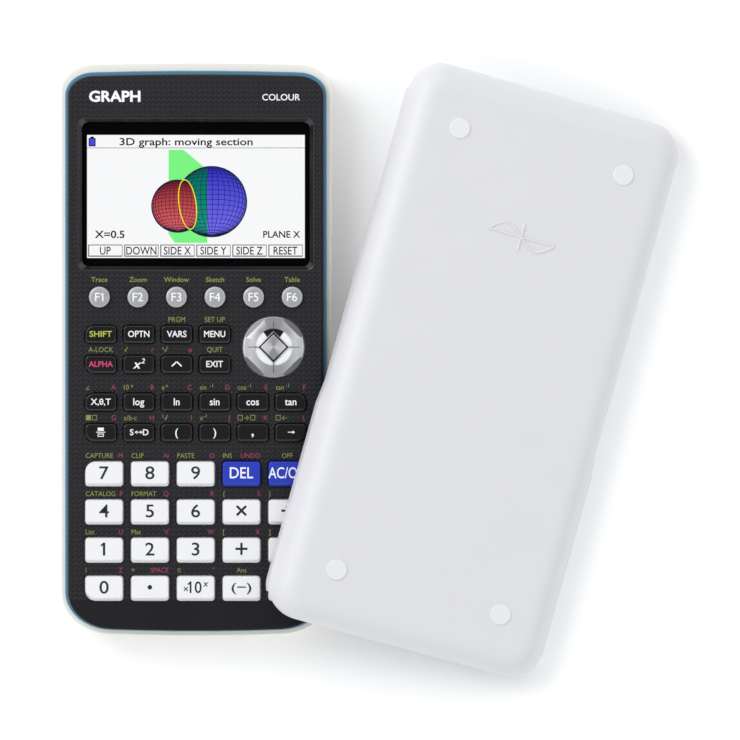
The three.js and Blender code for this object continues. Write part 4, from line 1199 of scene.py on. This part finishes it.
for quarter in range(4):
    angle = pi / 4 + quarter * pi / 2
    way = Vector((cos(angle), sin(angle), 0))
    cut = bmesh.ops.bisect_plane(
        pad_shape, geom=whole(pad_shape),
        plane_co=way * FACET_REACH * MM + Vector((0, 0, FACET_HEIGHT * MM)),
        plane_no=way * sin(FACET_TILT) + Vector((0, 0, cos(FACET_TILT))), clear_outer=True,
    )["geom_cut"]
    rim = [item for item in cut if isinstance(item, bmesh.types.BMEdge)]
    for face in bmesh.ops.holes_fill(pad_shape, edges=rim, sides=0)["faces"]:
        face.material_index = FACET_SLOT
face_outwards(pad_shape)
# Most of the sunk ring gets a flat bright colour, a painted highlight of its channel; a
# sector at its top is black.
RING_REACH, RING_HEIGHT, PATCH_HALF_ANGLE = 6.05, 17.75, radians(33)
for face in pad_shape.faces:
    middle = face.calc_center_median() / MM
    angle = abs(atan2(middle.x, middle.y))
    in_ring = middle.xy.length < RING_REACH and abs(middle.z - RING_HEIGHT) < 0.02
    if in_ring and angle < PATCH_HALF_ANGLE:
        face.material_index = 1
    elif in_ring:
        face.material_index = 2
bmesh.ops.translate(pad_shape, vec=(*(PAD_MIDDLE * MM), 0), verts=pad_shape.verts)
TICK_REACHES, TICK_HALF = (4.95, 8.4), 0.1
for way in ((1, 0), (0, 1), (-1, 0), (0, -1)):
    near, far = (PAD_MIDDLE + Vector(way) * reach for reach in TICK_REACHES)
    half = Vector((abs(way[1]), abs(way[0]))) * TICK_HALF
    low = Vector((min(near.x, far.x), min(near.y, far.y))) - half
    high = Vector((max(near.x, far.x), max(near.y, far.y))) + half
    add_block(pad_shape, (*low, 17.6), (*high, 18.22), 3)
ring_highlight = moulded("ring painted highlight", (0.86, 0.86, 0.87), 0.3, 3000, 0.002, 0.1)
tick_grey = moulded("tick grey", (0.06, 0.06, 0.065), 0.45)
facet_grey = moulded("facet grey", (0.13, 0.13, 0.14), 0.3, 3000, 0.002, 0.2,
                     Metallic=0.4)
pad = made_piece("cursor_pad_cap", pad_shape, spun_silver_sheen, key_black, ring_highlight,
                 tick_grey, facet_grey)
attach(pad, "cursor_pad")
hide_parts("cursor_pad")

hub_shape = bmesh.new()
add_disc(hub_shape, 4.0, PAD_MIDDLE, 12.2, 13.2, 32)
add_disc(hub_shape, 2.5, PAD_MIDDLE, 13.0, 15.5, 32)
hub_place = Matrix.Translation(Vector((*PAD_MIDDLE, HUB_LOW)) * MM)
diamond = bmesh.ops.create_circle(hub_shape, cap_ends=True, segments=4,
                                  radius=HUB_REACH * MM, matrix=hub_place)["verts"]
face = next(iter(diamond[0].link_faces))
face = raise_face(hub_shape, face, PAD_TOP - 0.25 - HUB_LOW)
inset(hub_shape, face, 0.2)
bmesh.ops.translate(hub_shape, verts=face.verts[:], vec=(0, 0, 0.15 * MM))
bmesh.ops.poke(hub_shape, faces=[face], offset=HUB_POINT * MM)
face_outwards(hub_shape)
hub = made_piece("cursor_hub_cap", hub_shape, spun_silver_sheen)
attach(hub, "cursor_hub")
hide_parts("cursor_hub")

# ---- Slide cover ----
# A hard white ABS shell with 2 mm walls, leaning on the calculator's right half.
# Two rails inside its flared sides slide along the grooves in the rear case.

COVER_WIDTH, COVER_LENGTH, COVER_DEPTH, COVER_WALL = 93.7, 188.5, 12.5, 2.0
COVER_CORNER, COVER_ROUND = 11, 9
FLARE = 0.9
FLARE_START, FLARE_RAMP, FLARE_FULL, FLARE_END = -83.05, -24.25, 4.4, 7.5
FLARE_TOP = -16.25
LIP_LOW, LIP_HIGH, LIP_HEIGHT = -88, 83.25, 4.1
# It leans by its rise from the ground to the keys over the width between them.
COVER_RISE, COVER_SPAN, COVER_MIDDLE = 18.9, 91.55, (90.7, -6.7, 9.96)
COVER_TURN, COVER_TILT = radians(-15.6), asin(COVER_RISE / COVER_SPAN)
COVER_SNAP = 0.03
cover_place = (
    Matrix.Translation([part * MM for part in COVER_MIDDLE])
    @ Matrix.Rotation(COVER_TURN, 4, "Z")
    @ Matrix.Rotation(COVER_TILT, 4, "Y")
)


cover_shape = rounded_face(COVER_WIDTH, COVER_LENGTH, (0, 0), 0,
                           even_corners(COVER_CORNER), 12)
base = cover_shape.faces[:][0]
top = raise_face(cover_shape, base, COVER_DEPTH)
bmesh.ops.delete(cover_shape, geom=[base], context="FACES_ONLY")
bmesh.ops.bevel(
    cover_shape, geom=top.edges[:], offset=COVER_ROUND * MM, offset_type="OFFSET",
    affect="EDGES", segments=12, profile=0.5, material=-1,
)
for station in (FLARE_RAMP, FLARE_TOP, LIP_LOW, LIP_HIGH):
    cut_across(cover_shape, 1, station, COVER_SNAP)
for height in (LIP_HEIGHT, FLARE_FULL):
    cut_across(cover_shape, 2, height, COVER_SNAP)
face_outwards(cover_shape)
if max(cover_shape.faces, key=lambda face: face.calc_area()).normal.z < 0:
    bmesh.ops.reverse_faces(cover_shape, faces=cover_shape.faces)
CORNER_MIDDLE = COVER_WIDTH / 2 - COVER_CORNER
for corner in cover_shape.verts:
    u, v, w = corner.co / MM
    outward = max(0, abs(u) - CORNER_MIDDLE) / COVER_CORNER
    along = min(1, max(0, (FLARE_TOP - v) / (FLARE_TOP - FLARE_RAMP)))
    below = min(1, max(0, (FLARE_END - w) / (FLARE_END - FLARE_FULL)))
    corner.co.x += FLARE * MM * outward * along * below * (1 if u > 0 else -1)
ends = []
for face in cover_shape.faces:
    middle = face.calc_center_median() / MM
    if not LIP_LOW < middle.y < LIP_HIGH and middle.z < LIP_HEIGHT:
        ends.append(face)
bmesh.ops.delete(cover_shape, geom=ends, context="FACES")
bmesh.ops.transform(cover_shape, matrix=cover_place, verts=cover_shape.verts)
cover_white = moulded("satin white cover", (0.73, 0.725, 0.75), 0.42, 1800, 0.004, 0.03)
cover = made_piece("cover_shell", cover_shape, cover_white, even=False)
walls = cover.modifiers.new("wall thickness", "SOLIDIFY")
walls.thickness = COVER_WALL * MM
walls.offset = -1
walls.use_even_offset = True
rim_round = cover.modifiers.new("rim rounding", "BEVEL")
rim_round.width = 0.35 * MM
rim_round.segments = 2
rim_round.limit_method = "ANGLE"
rim_round.angle_limit = radians(50)
rim_round.use_clamp_overlap = False
cover_even = cover.modifiers.new("even shading", "WEIGHTED_NORMAL")
cover_even.keep_sharp = True
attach(cover, "slide_cover")
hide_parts("slide_cover")

rail_shape = bmesh.new()
RAIL_INNER = 43.8
for side in (-1, 1):
    inner, outer = sorted((side * RAIL_INNER, side * (COVER_WIDTH / 2 - 1)))
    add_block(rail_shape, (inner, FLARE_START, 0.02), (outer, FLARE_TOP, 1.2))
round_edges(rail_shape, 0.25, 2)
bmesh.ops.transform(rail_shape, matrix=cover_place, verts=rail_shape.verts)
rails = made_piece("cover_rails", rail_shape, cover_white)
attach(rails, "slide_cover")

FOOT_PLACES = [(u, v) for u in (-28.5, 28.5) for v in (-74.8, 74.8)]
FOOT_RADIUS, FOOT_HALF_HEIGHT = 3.45, 0.4
foot_shape = bmesh.new()
for place in FOOT_PLACES:
    add_disc(foot_shape, FOOT_RADIUS, place, COVER_DEPTH - FOOT_HALF_HEIGHT,
             COVER_DEPTH + FOOT_HALF_HEIGHT, 48)
round_edges(foot_shape, 0.3, 3)
bmesh.ops.transform(foot_shape, matrix=cover_place, verts=foot_shape.verts)
foot_rubber = moulded("white foot", (0.80, 0.80, 0.815), 0.5, 2500, 0.004, 0.04)
feet = made_piece("cover_feet", foot_shape, foot_rubber)
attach(feet, "slide_cover")

# A raised sine curve on its axes is moulded in the cover's upper part.
EMBLEM_PLACE = Vector((1, 46, COVER_DEPTH))
EMBLEM_HALF, EMBLEM_WAVE, EMBLEM_UPRIGHT, EMBLEM_STEPS = 11.5, 3.4, 4.5, 48
emblem_curve = bpy.data.curves.new("emblem", "CURVE")
emblem_curve.dimensions = "3D"
emblem_curve.bevel_depth = 0.42 * MM
emblem_curve.bevel_resolution = 2
emblem_curve.use_fill_caps = True
sine = [
    (EMBLEM_HALF * (2 * step / EMBLEM_STEPS - 1),
     EMBLEM_WAVE * sin(2 * pi * step / EMBLEM_STEPS)) for step in range(EMBLEM_STEPS + 1)
]
axis_line = [(-EMBLEM_HALF, 0), (EMBLEM_HALF, 0)]
upright_line = [(0, -EMBLEM_UPRIGHT), (0, EMBLEM_UPRIGHT)]
for route in (sine, axis_line, upright_line):
    spline = emblem_curve.splines.new("POLY")
    spline.points.add(len(route) - 1)
    for point, (u, v) in zip(spline.points, route):
        point.co = (u * MM, v * MM, 0, 1)
emblem_mesh = as_mesh("emblem", emblem_curve)
emblem_shape = bmesh.new()
emblem_shape.from_mesh(emblem_mesh)
bpy.data.meshes.remove(emblem_mesh)
emblem_place = cover_place @ Matrix.Translation(EMBLEM_PLACE * MM)
bmesh.ops.transform(emblem_shape, matrix=emblem_place, verts=emblem_shape.verts)
emblem = made_piece("cover_emblem", emblem_shape, cover_white, even=False)
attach(emblem, "slide_cover")
